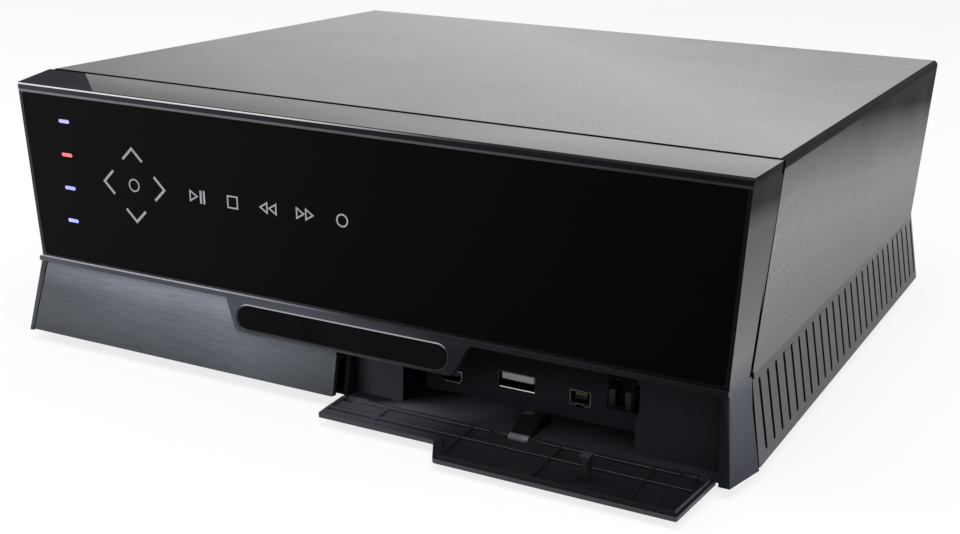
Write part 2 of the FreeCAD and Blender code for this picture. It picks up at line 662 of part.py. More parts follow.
def deep_socket_cut(socket):
    x, z, width, height, depth = socket
    air = FIT - 0.05
    return along_y([(x - width / 2 - air, z - height / 2 - air, 0.5),
                    (x + width / 2 + air, z - height / 2 - air, 0.5),
                    (x + width / 2 + air, z + height / 2 + air, 0.5),
                    (x - width / 2 - air, z + height / 2 + air, 0.5)],
                   DEEP_WALL_Y - 1, DEEP_WALL_Y + RECESS_WALL + 1)


def catch_box(grow):
    return (HOOK_X - CATCH_WIDTH / 2 - grow, HOOK_X + CATCH_WIDTH / 2 + grow,
            CATCH_Z - CATCH_HEIGHT / 2 - grow, CATCH_Z + CATCH_HEIGHT / 2 + grow)


def recess_front():
    """Front edge of the recess floor, behind the hinge."""
    return HINGE_Y + HINGE_BARREL + 0.5


def make_recess():
    right = FOOT_HALF
    rear = DEEP_WALL_Y + RECESS_WALL
    near_rear = NEAR_WALL_Y + RECESS_WALL
    ceiling = RECESS_TOP - RECESS_CEILING
    front = recess_front()
    mass = join(box(RECESS_LEFT, right, front, near_rear, 0.0, RECESS_TOP),
                box(DEEP_LEFT_X - RECESS_WALL, DEEP_RIGHT_X + RECESS_WALL, front, rear,
                    0.0, RECESS_TOP))
    near_room = box(RECESS_LEFT + RECESS_WALL, right + 5, -9, NEAR_WALL_Y, RECESS_FLOOR, ceiling)
    deep_room = box(DEEP_LEFT_X, DEEP_RIGHT_X, -9, DEEP_WALL_Y, RECESS_FLOOR, ceiling)
    x0, x1, z0, z1 = catch_box(0.0)
    catch_hole = box(x0, x1, NEAR_WALL_Y, rear + 1, z0, z1)
    ledges = [box(x, x + IO_LEDGE, rear - 0.5, rear + IO_BOARD_DEPTH, SHEET, IO_BOARD_TOP - BOARD)
              for x in (IO_BOARD_LEFT + 1, IO_BOARD_RIGHT - 1 - IO_LEDGE)]
    body = mass.cut([near_room, deep_room]).common(cheek_block(FIT))
    body = body.cut([deep_socket_cut(s) for s in (MINI_USB, USB_A, DV_PORT)] + [catch_hole])
    lugs = []
    for x0, x1 in end_lugs():
        web = box(x0, x1, HINGE_Y, front + 1.0, 0.0, RECESS_FLOOR)
        lugs.append(web.fuse(rod(x0, HINGE_Y, HINGE_Z, (1, 0, 0), HINGE_BARREL, x1 - x0)))
    bores = [rod(x0 - 1, HINGE_Y, HINGE_Z, (1, 0, 0), HINGE_PIN, x1 - x0 + 2) for x0, x1 in end_lugs()]
    return join(body, *ledges, *lugs).cut(bores)


def make_usb_socket(socket, tongue_high):
    """Folded metal shell with its tongue, on a base that stands on the small board."""
    x, z, width, height, depth = socket
    front = DEEP_WALL_Y + SOCKET_SET_BACK
    shell = along_y([(x - width / 2, z - height / 2, 0.4), (x + width / 2, z - height / 2, 0.4),
                     (x + width / 2, z + height / 2, 0.4), (x - width / 2, z + height / 2, 0.4)],
                    front, front + depth)
    room = box(x - width / 2 + SOCKET_SHELL, x + width / 2 - SOCKET_SHELL, front - 1, front + depth - 2,
               z - height / 2 + SOCKET_SHELL, z + height / 2 - SOCKET_SHELL)
    tongue = box(x - width / 2 + 1.2, x + width / 2 - 1.2, front + 1.0, front + depth - 1.5,
                 z + tongue_high, z + height / 2 - SOCKET_SHELL - 0.55)
    base_front = DEEP_WALL_Y + RECESS_WALL + FIT
    base = box(x - width / 2 + 0.3, x + width / 2 - 0.3, base_front, front + depth,
               IO_BOARD_TOP, z - height / 2 + 0.01)
    return join(shell.cut(room), tongue, base)


def make_dv_socket():
    x, z, width, height, depth = DV_PORT
    front = DEEP_WALL_Y + SOCKET_SET_BACK
    points = [(x - width / 2, z - height / 2, 0.3), (x - 1.4, z - height / 2), (x - 1.0, z - height / 2 + 0.7),
              (x + 1.0, z - height / 2 + 0.7), (x + 1.4, z - height / 2), (x + width / 2, z - height / 2, 0.3),
              (x + width / 2, z + height / 2, 0.3), (x - width / 2, z + height / 2, 0.3)]
    shell = along_y(points, front, front + depth)
    room = box(x - width / 2 + SOCKET_SHELL, x + width / 2 - SOCKET_SHELL, front - 1, front + depth - 2,
               z - height / 2 + 0.7 + SOCKET_SHELL, z + height / 2 - SOCKET_SHELL)
    tongue = box(x - 2.0, x + 2.0, front + 0.8, front + depth - 1.5, z - 0.4, z + 1.0)
    base = box(x - width / 2 + 0.2, x + width / 2 - 0.2, DEEP_WALL_Y + RECESS_WALL + FIT, front + depth,
               IO_BOARD_TOP, z - height / 2 + 0.8)
    return join(shell.cut(room), tongue, base)


def make_io_board():
    front = DEEP_WALL_Y + RECESS_WALL + FIT
    return box(IO_BOARD_LEFT, IO_BOARD_RIGHT, front, front + IO_BOARD_DEPTH,
               IO_BOARD_TOP - BOARD, IO_BOARD_TOP)


def make_catch_housing():
    x0, x1, z0, z1 = catch_box(0.0)
    body = box(x0, x1, CATCH_FRONT_Y, CATCH_REAR_Y, z0, z1)
    bore = box(x0 + CATCH_WALL, x1 - CATCH_WALL, CATCH_FRONT_Y - 1, CATCH_REAR_Y - CATCH_WALL,
               z0 + CATCH_WALL, z1 - CATCH_WALL)
    rear = DEEP_WALL_Y + RECESS_WALL
    collar = box(x0 - 1.2, x1 + 1.2, rear, rear + 1.2, z0 - 1.2, z1 + 1.2)
    return join(body, collar).cut(bore)


def make_catch_plunger():
    """Sliding plunger of the flap catch, with its two flexing jaws moulded on."""
    x0, x1, z0, z1 = catch_box(-CATCH_WALL - FIT)
    slide_rear = CATCH_REAR_Y - CATCH_WALL - CATCH_TRAVEL - FIT
    root = CATCH_FRONT_Y + 3.4
    block = box(x0, x1, root, slide_rear, z0, z1)
    jaws = []
    for side in (-1, 1):
        inner = HOOK_X + side * JAW_OPENING / 2
        outer = inner + side * JAW_THICK
        front = CATCH_FRONT_Y - JAW_REACH
        tip = inner - side * 0.7
        points = [(inner, root + 0.2), (inner, front + 1.6), (tip, front + 0.9), (tip, front + 0.3),
                  (inner + side * 0.5, front), (outer, front), (outer, root + 0.2)]
        jaws.append(along_z(points, CATCH_Z - JAW_HEIGHT / 2, CATCH_Z + JAW_HEIGHT / 2))
    bore = rod(HOOK_X, slide_rear - SPRING_SEAT, CATCH_Z, (0, 1, 0), SPRING_RADIUS + FIT, SPRING_SEAT + 1)
    return join(block, *jaws).cut(bore)


def make_catch_spring():
    """Coil spring between the housing and the plunger's bore, drawn as its sleeve."""
    back = CATCH_REAR_Y - CATCH_WALL
    length = CATCH_TRAVEL + FIT + SPRING_SEAT
    return rod(HOOK_X, back - length, CATCH_Z, (0, 1, 0), SPRING_RADIUS, length).cut(
        rod(HOOK_X, back - length - 1, CATCH_Z, (0, 1, 0), SPRING_RADIUS - SPRING_WIRE, length + 2))


# ---- flap and its hinge ------------------------------------------------------------------
def to_open(shape):
    """Swing a shape drawn in the closed plane down to the open stop."""
    turned = shape.copy()
    turned.rotate(Vector(0, HINGE_Y, HINGE_Z), Vector(1, 0, 0), FLAP_OPEN_ANGLE)
    return turned


def hinge_along():
    """Distance of the hinge axis up the flap's closed plane."""
    return (Vector(0, HINGE_Y, HINGE_Z) - Vector(0, FRONT_FOOT_Y, 0)).dot(LOWER_UP)


def flap_points(inset):
    along = hinge_along()
    foot = along - FLAP_ROOT + FLAP_FOOT_BAR * inset
    long_edge = along + FLAP_LONG - inset
    short_edge = along + FLAP_SHORT - inset
    corner = max(0.3, 1.6 - inset)
    return [(FLAP_LEFT + inset, foot), (FLAP_RIGHT_FOOT - inset, foot),
            (FLAP_RIGHT_TOP - inset, long_edge, 0.8), (FLAP_SLOPE_X + 0.8 + inset, long_edge, corner),
            (FLAP_SLOPE_X - 4.6 + inset, short_edge, corner), (FLAP_LEFT + inset, short_edge, 0.8)]


def end_lugs():
    """x ranges of the two lugs on the recess floor that hold the ends of the hinge."""
    return [(FLAP_LEFT + LUG_INSET, FLAP_LEFT + LUG_INSET + LUG_WIDTH),
            (FLAP_RIGHT_FOOT - LUG_INSET - LUG_WIDTH, FLAP_RIGHT_FOOT - LUG_INSET)]


def hinge_ears():
    """x ranges of the flap's hinge barrels: one beside each end lug, two beside the middle arm."""
    left, right = end_lugs()
    return [(left[1] + FIT, left[1] + FIT + ARM_EAR), (ARM_LEFT - FIT - ARM_EAR, ARM_LEFT - FIT),
            (ARM_RIGHT + FIT, ARM_RIGHT + FIT + ARM_EAR), (right[0] - FIT - ARM_EAR, right[0] - FIT)]


def hinge_gaps():
    """x ranges cut out of the flap's root, each for a lug or arm and the ears beside it."""
    left, right = end_lugs()
    return [(left[0] - FIT, left[1] + FIT + ARM_EAR),
            (ARM_LEFT - FIT - ARM_EAR, ARM_RIGHT + FIT + ARM_EAR),
            (right[0] - FIT - ARM_EAR, right[1] + FIT)]


def hinge_pin_spans():
    left, right = end_lugs()
    return [(left[0], left[1] + FIT + ARM_EAR - 0.4),
            (ARM_LEFT - FIT - ARM_EAR + 0.4, ARM_RIGHT + FIT + ARM_EAR - 0.4),
            (right[0] - FIT - ARM_EAR + 0.4, right[1])]


def make_flap():
    along = hinge_along()
    plate = lower_slab(flap_points(0.0), 0.0, FLAP_THICK)
    rim = lower_slab(flap_points(FLAP_RIB_INSET), FLAP_THICK - 0.1, FLAP_RIB + 0.1).cut(
        lower_slab(flap_points(FLAP_RIB_INSET + FLAP_RIB_WIDTH), FLAP_THICK - 1.0, FLAP_RIB + 2.0))
    ribs = []
    pitch = (FLAP_RIGHT_FOOT - FLAP_LEFT) / (FLAP_RIB_COUNT + 0.22)
    for i in range(FLAP_RIB_COUNT):
        x = FLAP_LEFT + pitch * (i + 0.62)
        high = FLAP_SHORT if x < FLAP_STEP_X else FLAP_LONG
        ribs.append(lower_slab([(x, along + 1.0), (x + FLAP_RIB_WIDTH, along + 1.0),
                                (x + FLAP_RIB_WIDTH, along + high - FLAP_RIB_INSET),
                                (x, along + high - FLAP_RIB_INSET)], FLAP_THICK - 0.1, FLAP_RIB + 0.1))
    rib_low = along + FLAP_MIDDLE_RIB
    ribs.append(lower_slab([(FLAP_LEFT + FLAP_RIB_INSET, rib_low),
                            (FLAP_RIGHT_FOOT - 3.0, rib_low),
                            (FLAP_RIGHT_FOOT - 3.0, rib_low + FLAP_RIB_WIDTH),
                            (FLAP_LEFT + FLAP_RIB_INSET, rib_low + FLAP_RIB_WIDTH)],
                           FLAP_THICK - 0.1, FLAP_RIB + 0.1))
    body = join(plate, rim, *ribs)
    gap_top = along + HINGE_BARREL + HINGE_GAP
    gaps = [lower_slab([(x0, -3.0), (x1, -3.0), (x1, gap_top), (x0, gap_top)], -3.0, 12.0)
            for x0, x1 in hinge_gaps()]
    body = body.cut(gaps)
    ears = []
    for x0, x1 in hinge_ears():
        barrel = rod(x0, HINGE_Y, HINGE_Z, (1, 0, 0), HINGE_BARREL, x1 - x0)
        root = lower_slab([(x0, along), (x1, along), (x1, gap_top + 0.4), (x0, gap_top + 0.4)],
                          0.0, FLAP_THICK)
        ears.append(barrel.fuse(root))
    hook_foot = along + HOOK_FROM_HINGE
    hook = along_hook(hook_foot)
    body = join(body, *ears, hook)
    bores = [rod(x0 - 1, HINGE_Y, HINGE_Z, (1, 0, 0), HINGE_PIN + HINGE_RUN, x1 - x0 + 2)
             for x0, x1 in hinge_ears()]
    return to_open(body.cut(bores))


def along_hook(middle):
    """Striker on the flap's inner face: a stalk with a T-shaped end for the jaws."""
    low = middle - HOOK_WIDTH / 2
    high = middle + HOOK_WIDTH / 2
    stalk = lower_slab([(HOOK_X - HOOK_THICK / 2, low), (HOOK_X + HOOK_THICK / 2, low),
                        (HOOK_X + HOOK_THICK / 2, high), (HOOK_X - HOOK_THICK / 2, high)],
                       FLAP_THICK - 0.1, HOOK_REACH + 0.1)
    wide = HOOK_THICK / 2 + HOOK_BARB / 2
    head = lower_slab([(HOOK_X - wide, low), (HOOK_X + wide, low), (HOOK_X + wide, high),
                       (HOOK_X - wide, high)], FLAP_THICK + HOOK_REACH - 1.2, 1.2)
    return stalk.fuse(head)


def make_hinge_arm():
    """Gooseneck arm that rises from the recess floor and holds the middle of the hinge."""
    nose = recess_front() - FIT
    profile = [(ARM_REAR_Y, RECESS_FLOOR), (ARM_TOP_Y + 0.6, ARM_TOP, 1.6), (ARM_TOP_Y - 4.0, ARM_TOP, 3.0),
               (HINGE_Y + 0.3, HINGE_Z + HINGE_BARREL - 0.05), (HINGE_Y + 0.6, HINGE_Z - 0.6),
               (nose, HINGE_Z - 0.6), (nose, RECESS_FLOOR)]
    arm = along_x(profile, ARM_LEFT, ARM_RIGHT)
    knuckle = rod(ARM_LEFT, HINGE_Y, HINGE_Z, (1, 0, 0), HINGE_BARREL, ARM_RIGHT - ARM_LEFT)
    return join(arm, knuckle).cut(
        rod(ARM_LEFT - 1, HINGE_Y, HINGE_Z, (1, 0, 0), HINGE_PIN, ARM_RIGHT - ARM_LEFT + 2))


def make_hinge_pins():
    """Steel pins: a long one through the middle arm, and a short one through each end lug."""
    return Part.makeCompound([rod(x0, HINGE_Y, HINGE_Z, (1, 0, 0), HINGE_PIN, x1 - x0)
                              for x0, x1 in hinge_pin_spans()])


# ---- drive tray --------------------------------------------------------------------------
def fascia_points(inset):
    foot = FASCIA_FOOT + inset
    head = LOWER_SLOPE - BEAD_HEIGHT - PANEL_GAP - inset
    step = LOWER_SLOPE - BEAD_HEIGHT - TAB_DROP - PANEL_GAP - inset
    left_foot = CHEEK_LEFT_FOOT - FRONT_FOOT_HALF + PANEL_GAP + inset
    left_head = CHEEK_LEFT_TOP - FRONT_WAIST_HALF + PANEL_GAP + inset
    right = -RECESS_LEFT - 0.7 - inset
    return [(left_foot, foot, 0.6), (right, foot, 0.6), (right, step, 0.8),
            (-TAB_FOOT_HALF - PANEL_GAP - inset, step, 2.0), (-TAB_TOP_HALF - PANEL_GAP - inset, head, 1.2),
            (left_head, head, 0.8)]


def tray_front_y():
    """Front face of the tray's steel, behind the thick of the fascia."""
    return lower(0, TRAY_FLOOR_Z + TRAY_FRONT_HEIGHT, FASCIA_THICK).y + 0.3


def make_fascia():
    plate = lower_slab(fascia_points(0.0), 0.0, FASCIA_THICK)
    y = tray_front_y()
    half = TRAY_HALF - 6.0
    seat = box(TRAY_CENTRE_X - half, TRAY_CENTRE_X + half, -4.0, y, TRAY_FLOOR_Z + 1.0,
               TRAY_FLOOR_Z + TRAY_FRONT_HEIGHT)
    behind = lower_slab([(-200, -20), (200, -20), (200, 60), (-200, 60)], FASCIA_THICK - 0.05, 30.0)
    seat = seat.common(behind)
    return join(plate, seat)


def fascia_screw_xs():
    return [TRAY_CENTRE_X - 26.0, TRAY_CENTRE_X + 26.0]


def make_fascia_screws():
    y = tray_front_y()
    z = TRAY_FLOOR_Z + TRAY_FRONT_HEIGHT / 2
    return Part.makeCompound([hex_screw(Vector(x, y + TRAY_SHEET, z), Vector(0, 1, 0), 0.0,
                                        SCREW_HEAD_HEIGHT) for x in fascia_screw_xs()])


def make_tray():
    y0 = tray_front_y()
    y1 = y0 + DRIVE_FROM_FRONT + DRIVE_LENGTH - 9.0
    x0 = TRAY_CENTRE_X - TRAY_HALF
    x1 = TRAY_CENTRE_X + TRAY_HALF
    z0 = TRAY_FLOOR_Z
    floor = box(x0, x1, y0, y1, z0, z0 + TRAY_SHEET)
    sides = [box(x, x + TRAY_SHEET, y0, y1, z0, z0 + TRAY_SIDE_HEIGHT) for x in (x0, x1 - TRAY_SHEET)]
    front = box(x0, x1, y0, y0 + TRAY_SHEET, z0, z0 + TRAY_FRONT_HEIGHT)
    window = along_z([(TRAY_CENTRE_X - 18, y0 + 32), (TRAY_CENTRE_X + 18, y0 + 32),
                      (TRAY_CENTRE_X + 24, y0 + 38), (TRAY_CENTRE_X + 24, y1 - 28),
                      (TRAY_CENTRE_X + 18, y1 - 22), (TRAY_CENTRE_X - 18, y1 - 22),
                      (TRAY_CENTRE_X - 24, y1 - 28), (TRAY_CENTRE_X - 24, y0 + 38)], z0 - 1, z0 + 2)
    pads = [box(x - 3.2, x + 3.2, y - 3.2, y + 3.2, z0 + TRAY_SHEET, DRIVE_BASE_Z)
            for x, y in drive_screw_places()]
    return join(floor, front, *sides, *pads).cut(window)


def drive_front_y():
    return tray_front_y() + DRIVE_FROM_FRONT


def drive_screw_places():
    """Four threaded holes in the drive's under side, at the format's own places."""
    front = drive_front_y()
    return [(TRAY_CENTRE_X + side * 30.86, front + DRIVE_LENGTH - y)
            for side in (-1, 1) for y in (14.0, 90.6)]


def make_drive_screws():
    return Part.makeCompound([hex_screw(Vector(x, y, TRAY_FLOOR_Z), Vector(0, 0, -1), 0.0, 0.6)
                              for x, y in drive_screw_places()])


def make_drive_case():
    y0 = drive_front_y()
    x0 = TRAY_CENTRE_X - DRIVE_WIDTH / 2
    x1 = TRAY_CENTRE_X + DRIVE_WIDTH / 2
    z0 = DRIVE_BASE_Z
    z1 = z0 + DRIVE_HEIGHT - DRIVE_BOARD_DROP - DRIVE_LID
    body = along_z([(x0, y0, 2.0), (x1, y0, 2.0), (x1, y0 + DRIVE_LENGTH, 2.0),
                    (x0, y0 + DRIVE_LENGTH, 2.0)], z0, z1)
    connector_room = box(TRAY_CENTRE_X - SATA_WIDTH / 2 - 1, TRAY_CENTRE_X + SATA_WIDTH / 2 + 1,
                         y0 + DRIVE_LENGTH - 8.0, y0 + DRIVE_LENGTH + 1, z0 - 1, z0 + SATA_HEIGHT)
    side_notch = [box(x - 1.2, x + 1.2, y0 + 38, y0 + 56, z1 - 2.2, z1 + 1) for x in (x0, x1)]
    return body.cut([connector_room] + side_notch)


def make_drive_lid():
    y0 = drive_front_y()
    half = DRIVE_WIDTH / 2 - 1.4
    z1 = DRIVE_BASE_Z + DRIVE_HEIGHT - DRIVE_BOARD_DROP - DRIVE_LID
    x = TRAY_CENTRE_X
    plate = along_z([(x - half, y0 + 1.4, 3.0), (x + half, y0 + 1.4, 3.0),
                     (x + half, y0 + DRIVE_LENGTH - 1.4, 3.0), (x - half, y0 + DRIVE_LENGTH - 1.4, 3.0)],
                    z1, z1 + 0.5)
    disc = Part.makeCylinder(31.0, DRIVE_LID - 0.5, Vector(x, y0 + 36.0, z1 + 0.5))
    return join(plate, disc)


def make_drive_board():
    y1 = drive_front_y() + DRIVE_LENGTH - DRIVE_BOARD_FROM_REAR
    x = TRAY_CENTRE_X
    half = DRIVE_WIDTH / 2 - 8.0
    return box(x - half, x + half, y1 - DRIVE_BOARD_LENGTH, y1, DRIVE_BASE_Z - DRIVE_BOARD_DROP,
               DRIVE_BASE_Z)


def make_drive_connector():
    y1 = drive_front_y() + DRIVE_LENGTH
    x = TRAY_CENTRE_X
    z = DRIVE_BASE_Z
    body = box(x - SATA_WIDTH / 2, x + SATA_WIDTH / 2, y1 - 8.0, y1, z, z + SATA_HEIGHT - 0.3)
    slot = box(x - SATA_WIDTH / 2 + 1.2, x + SATA_WIDTH / 2 - 1.2, y1 - SATA_DEPTH, y1 + 1,
               z + 0.8, z + SATA_HEIGHT - 1.1)
    blade = box(x - SATA_WIDTH / 2 + 2.4, x + SATA_WIDTH / 2 - 2.4, y1 - SATA_DEPTH - 0.5, y1 - 0.6,
                z + 1.5, z + 2.5)
    return join(body.cut(slot), blade)


def runner_range():
    return tray_front_y() + 4.0, drive_front_y() + DRIVE_LENGTH - 12.0


def make_runners():
    y0, y1 = runner_range()
    strips = []
    for side in (-1, 1):
        inner = TRAY_CENTRE_X + side * TRAY_HALF
        outer = inner + side * RUNNER_THICK
        tip = y1 - 1.2
        strips.append(along_z([(inner, y0), (outer, y0), (outer, tip), (outer - side * 1.2, y1), (inner, y1)],
                              RUNNER_Z, RUNNER_Z + RUNNER_HEIGHT))
    return Part.makeCompound(strips)


def make_rails():
    """Folded steel channels that the tray's runners slide in, on flanges screwed to the pan."""
    y0, y1 = runner_range()
    air = RAIL_CLEARANCE
    rails = []
    for side in (-1, 1):
        mouth = TRAY_HALF + air
        web = TRAY_HALF + RUNNER_THICK + air
        low = RUNNER_Z - air
        high = RUNNER_Z + RUNNER_HEIGHT + air
        points = [(mouth, low - RAIL_SHEET), (web, low - RAIL_SHEET), (web, SHEET),
                  (web + RAIL_FLANGE, SHEET), (web + RAIL_FLANGE, SHEET + RAIL_SHEET),
                  (web + RAIL_SHEET, SHEET + RAIL_SHEET), (web + RAIL_SHEET, high + RAIL_SHEET),
                  (mouth, high + RAIL_SHEET), (mouth, high), (web, high), (web, low), (mouth, low)]
        placed = [(TRAY_CENTRE_X + side * a, b) for a, b in points]
        rails.append(along_y(placed, y0 - 1.0, y1 + 3.0))
    return Part.makeCompound(rails)


def rail_screw_places():
    y0, y1 = runner_range()
    reach = TRAY_HALF + RUNNER_THICK + RAIL_CLEARANCE + RAIL_FLANGE - 4.0
    return [(TRAY_CENTRE_X + side * reach, y) for side in (-1, 1) for y in (y0 + 12.0, y1 - 12.0)]


def make_rail_screws():
    z = SHEET + RAIL_SHEET
    return Part.makeCompound([hex_screw(Vector(x, y, z), Vector(0, 0, 1), 0.0, SCREW_HEAD_HEIGHT)
                              for x, y in rail_screw_places()])


def make_backplane_connector():
    y1 = drive_front_y() + DRIVE_LENGTH
    x = TRAY_CENTRE_X
    z = DRIVE_BASE_Z
    body = box(x - SATA_WIDTH / 2, x + SATA_WIDTH / 2, y1 + FIT, y1 + 6.0, z - 0.5, z + SATA_HEIGHT + 1.0)
    nose = box(x - SATA_WIDTH / 2 + 1.5, x + SATA_WIDTH / 2 - 1.5, y1 - SATA_DEPTH + 1.2, y1 + 1.0,
               z + 1.1, z + SATA_HEIGHT - 1.4)
    slot = box(x - SATA_WIDTH / 2 + 2.1, x + SATA_WIDTH / 2 - 2.1, y1 - SATA_DEPTH, y1 + 2.0,
               z + 1.2, z + 2.8)
    return join(body, nose).cut(slot)


def make_backplane_board():
    y = drive_front_y() + DRIVE_LENGTH + 6.0
    half = SATA_WIDTH / 2 + BACKPLANE_MARGIN
    return box(TRAY_CENTRE_X - half, TRAY_CENTRE_X + half, y, y + BOARD, SHEET, SHEET + BACKPLANE_HEIGHT)


def make_backplane_bracket():
    """Angle that stands the backplane board on the pan."""
    y = drive_front_y() + DRIVE_LENGTH + 6.0 + BOARD
    half = SATA_WIDTH / 2 + BACKPLANE_MARGIN - 4.0
    upright = box(TRAY_CENTRE_X - half, TRAY_CENTRE_X + half, y, y + SHEET, SHEET, SHEET + 14.0)
    foot = box(TRAY_CENTRE_X - half, TRAY_CENTRE_X + half, y, y + 7.0, SHEET, 2 * SHEET)
    return join(upright, foot)


# ---- main board and rear sockets ---------------------------------------------------------
def main_board_rear():
    return PANEL_FRONT - MAIN_BOARD_REAR_AIR


def make_main_board():
    return box(MAIN_BOARD_LEFT, MAIN_BOARD_RIGHT, MAIN_BOARD_FRONT, main_board_rear(),
               MAIN_BOARD_TOP - BOARD, MAIN_BOARD_TOP)


def standoff_places():
    xs = (MAIN_BOARD_LEFT + STANDOFF_INSET, (MAIN_BOARD_LEFT + MAIN_BOARD_RIGHT) / 2,
          MAIN_BOARD_RIGHT - STANDOFF_INSET)
    return [(x, y) for x in xs for y in (MAIN_BOARD_FRONT + STANDOFF_INSET, main_board_rear() - 26.0)]


def make_standoffs():
    return Part.makeCompound([prism(Vector(x, y, SHEET), Vector(0, 0, 1), STANDOFF_RADIUS,
                                    MAIN_BOARD_TOP - BOARD - SHEET) for x, y in standoff_places()])


def make_board_screws():
    return Part.makeCompound([hex_screw(Vector(x, y, MAIN_BOARD_TOP), Vector(0, 0, 1), 0.0,
                                        SCREW_HEAD_HEIGHT) for x, y in standoff_places()])


def chip_y():
    return MAIN_BOARD_FRONT + 28.0


def make_processor():
    half = CHIP_SIZE / 2
    return box(CHIP_X - half, CHIP_X + half, chip_y() - half, chip_y() + half,
               MAIN_BOARD_TOP, MAIN_BOARD_TOP + CHIP_HEIGHT)


def make_heat_sink():
    half = SINK_SIZE / 2
    base_z = MAIN_BOARD_TOP + CHIP_HEIGHT
    base = box(CHIP_X - half, CHIP_X + half, chip_y() - half, chip_y() + half, base_z, base_z + SINK_BASE)
    pitch = (SINK_SIZE - SINK_FIN) / (SINK_FINS - 1)
    fins = [box(CHIP_X - half + i * pitch, CHIP_X - half + i * pitch + SINK_FIN,
                chip_y() - half, chip_y() + half, base_z, base_z + SINK_HEIGHT) for i in range(SINK_FINS)]
    return join(base, *fins)


def make_memory():
    chips = []
    for i in range(4):
        x = CHIP_X + SINK_SIZE / 2 + 8.0 + (i % 2) * 14.0
        y = chip_y() - 14.0 + (i // 2) * 15.0
        chips.append(box(x, x + 11.0, y, y + 12.0, MAIN_BOARD_TOP, MAIN_BOARD_TOP + 1.2))
    return Part.makeCompound(chips)


def make_capacitors():
    cans = []
    for i in range(2):
        place = Vector(MAIN_BOARD_LEFT + 16.0 + i * 11.0, MAIN_BOARD_FRONT + 14.0, MAIN_BOARD_TOP)
        cans.append(Part.makeCylinder(4.0, 11.5, place))
    return Part.makeCompound(cans)


REAR_ROW = (("power_jack", 9.0, 11.0), ("hdmi_socket", 15.0, 6.2), ("optical_socket", 9.7, 10.0),
            ("rear_usb_socket", 13.1, 5.7), ("lan_socket", 16.0, 13.4), ("av_socket_block", 33.0, 13.0),
            ("tuner_can", 40.0, 15.0))
REAR_ROW_INSET = 10.0     # from the left end of the main board
REAR_ROW_GAP = 5.2


def rear_places():
    """x range and height of each rear socket, in a row with even gaps."""
    places = {}
    x = MAIN_BOARD_LEFT + REAR_ROW_INSET
    for name, width, height in REAR_ROW:
        places[name] = (x, x + width, MAIN_BOARD_TOP, MAIN_BOARD_TOP + height)
        x += width + REAR_ROW_GAP
    return places


def rear_windows():
    places = rear_places()
    return [places[name] for name in places if name != "tuner_can"]


def antenna_place():
    x0, x1, z0, z1 = rear_places()["tuner_can"]
    return x0 + 12.0, (z0 + z1) / 2


def make_power_jack():
    x0, x1, z0, z1 = rear_places()["power_jack"]
    body = box(x0, x1, main_board_rear() - 12.0, PANEL_REAR + SOCKET_PROUD, z0, z1)
    x = (x0 + x1) / 2
    z = z0 + 6.0
    room = rod(x, PANEL_REAR + SOCKET_PROUD - 9.5, z, (0, 1, 0), 2.85, 12)
    pin = rod(x, PANEL_REAR + SOCKET_PROUD - 10, z, (0, 1, 0), 1.0, 9.0)
    return join(body.cut(room), pin)


def shell_socket(name, tongue):
    x0, x1, z0, z1 = rear_places()[name]
    rear = PANEL_REAR + SOCKET_PROUD
    body = box(x0, x1, main_board_rear() - 10.0, rear, z0, z1)
    room = box(x0 + 0.5, x1 - 0.5, rear - 9.0, rear + 1, z0 + 0.5, z1 - 0.5)
    middle = (z0 + z1) / 2
    blade = box(x0 + 2.0, x1 - 2.0, rear - 9.5, rear - 1.0, middle - tongue / 2, middle + tongue / 2)
    return join(body.cut(room), blade)


def make_optical():
    x0, x1, z0, z1 = rear_places()["optical_socket"]
    rear = PANEL_REAR + SOCKET_PROUD
    body = box(x0, x1, main_board_rear() - 10.0, rear, z0, z1)
    door_seat = box(x0 + 1.6, x1 - 1.6, rear - 0.8, rear + 1, z0 + 2.0, z1 - 2.0)
    return body.cut(door_seat)


def lan_room():
    """Room that a network plug takes in its socket, as x, y and z ranges."""
    x0, x1, z0, z1 = rear_places()["lan_socket"]
    rear = PANEL_REAR + SOCKET_PROUD
    middle = (x0 + x1) / 2
    return middle - 5.9, middle + 5.9, rear - 12.0, rear, z0 + 3.6, z0 + 10.6


def make_lan():
    x0, x1, z0, z1 = rear_places()["lan_socket"]
    rear = PANEL_REAR + SOCKET_PROUD
    a, b, c, d, e, f = lan_room()
    key = box((a + b) / 2 - 3.0, (a + b) / 2 + 3.0, c, rear + 1, f - 0.5, f + 1.6)
    return box(x0, x1, rear - 19.0, rear, z0, z1).cut([box(a, b, c, rear + 1, e, f), key])


def av_places():
    x0, x1, z0, z1 = rear_places()["av_socket_block"]
    return [(x0 + 5.8 + i * 10.7, (z0 + z1) / 2) for i in range(3)]


def make_av_block():
    x0, x1, z0, z1 = rear_places()["av_socket_block"]
    body = box(x0, x1, main_board_rear() - 8.0, PANEL_REAR + 0.2, z0, z1)
    collars = [rod(x, PANEL_REAR, z, (0, 1, 0), 4.1, 8.0) for x, z in av_places()]
    bores = [rod(x, PANEL_REAR - 2.0, z, (0, 1, 0), 1.6, 12.0) for x, z in av_places()]
    return join(body, *collars).cut(bores)


def make_tuner():
    x0, x1, z0, z1 = rear_places()["tuner_can"]
    front = PANEL_FRONT - TUNER_LONG
    can = box(x0, x1, front, PANEL_FRONT - FIT, z0, z1)
    vents = [box(x0 + 5.0 + i * 8.0, x0 + 8.0 + i * 8.0, front + 8, front + 32, z1 - 0.6, z1 + 1)
             for i in range(4)]
    return can.cut(vents)


def make_antenna_socket():
    x, z = antenna_place()
    collar = rod(x, PANEL_FRONT - FIT, z, (0, 1, 0), ANTENNA_RADIUS, 9.0)
    return collar.cut(rod(x, PANEL_REAR, z, (0, 1, 0), ANTENNA_RADIUS - 1.2, 12.0))


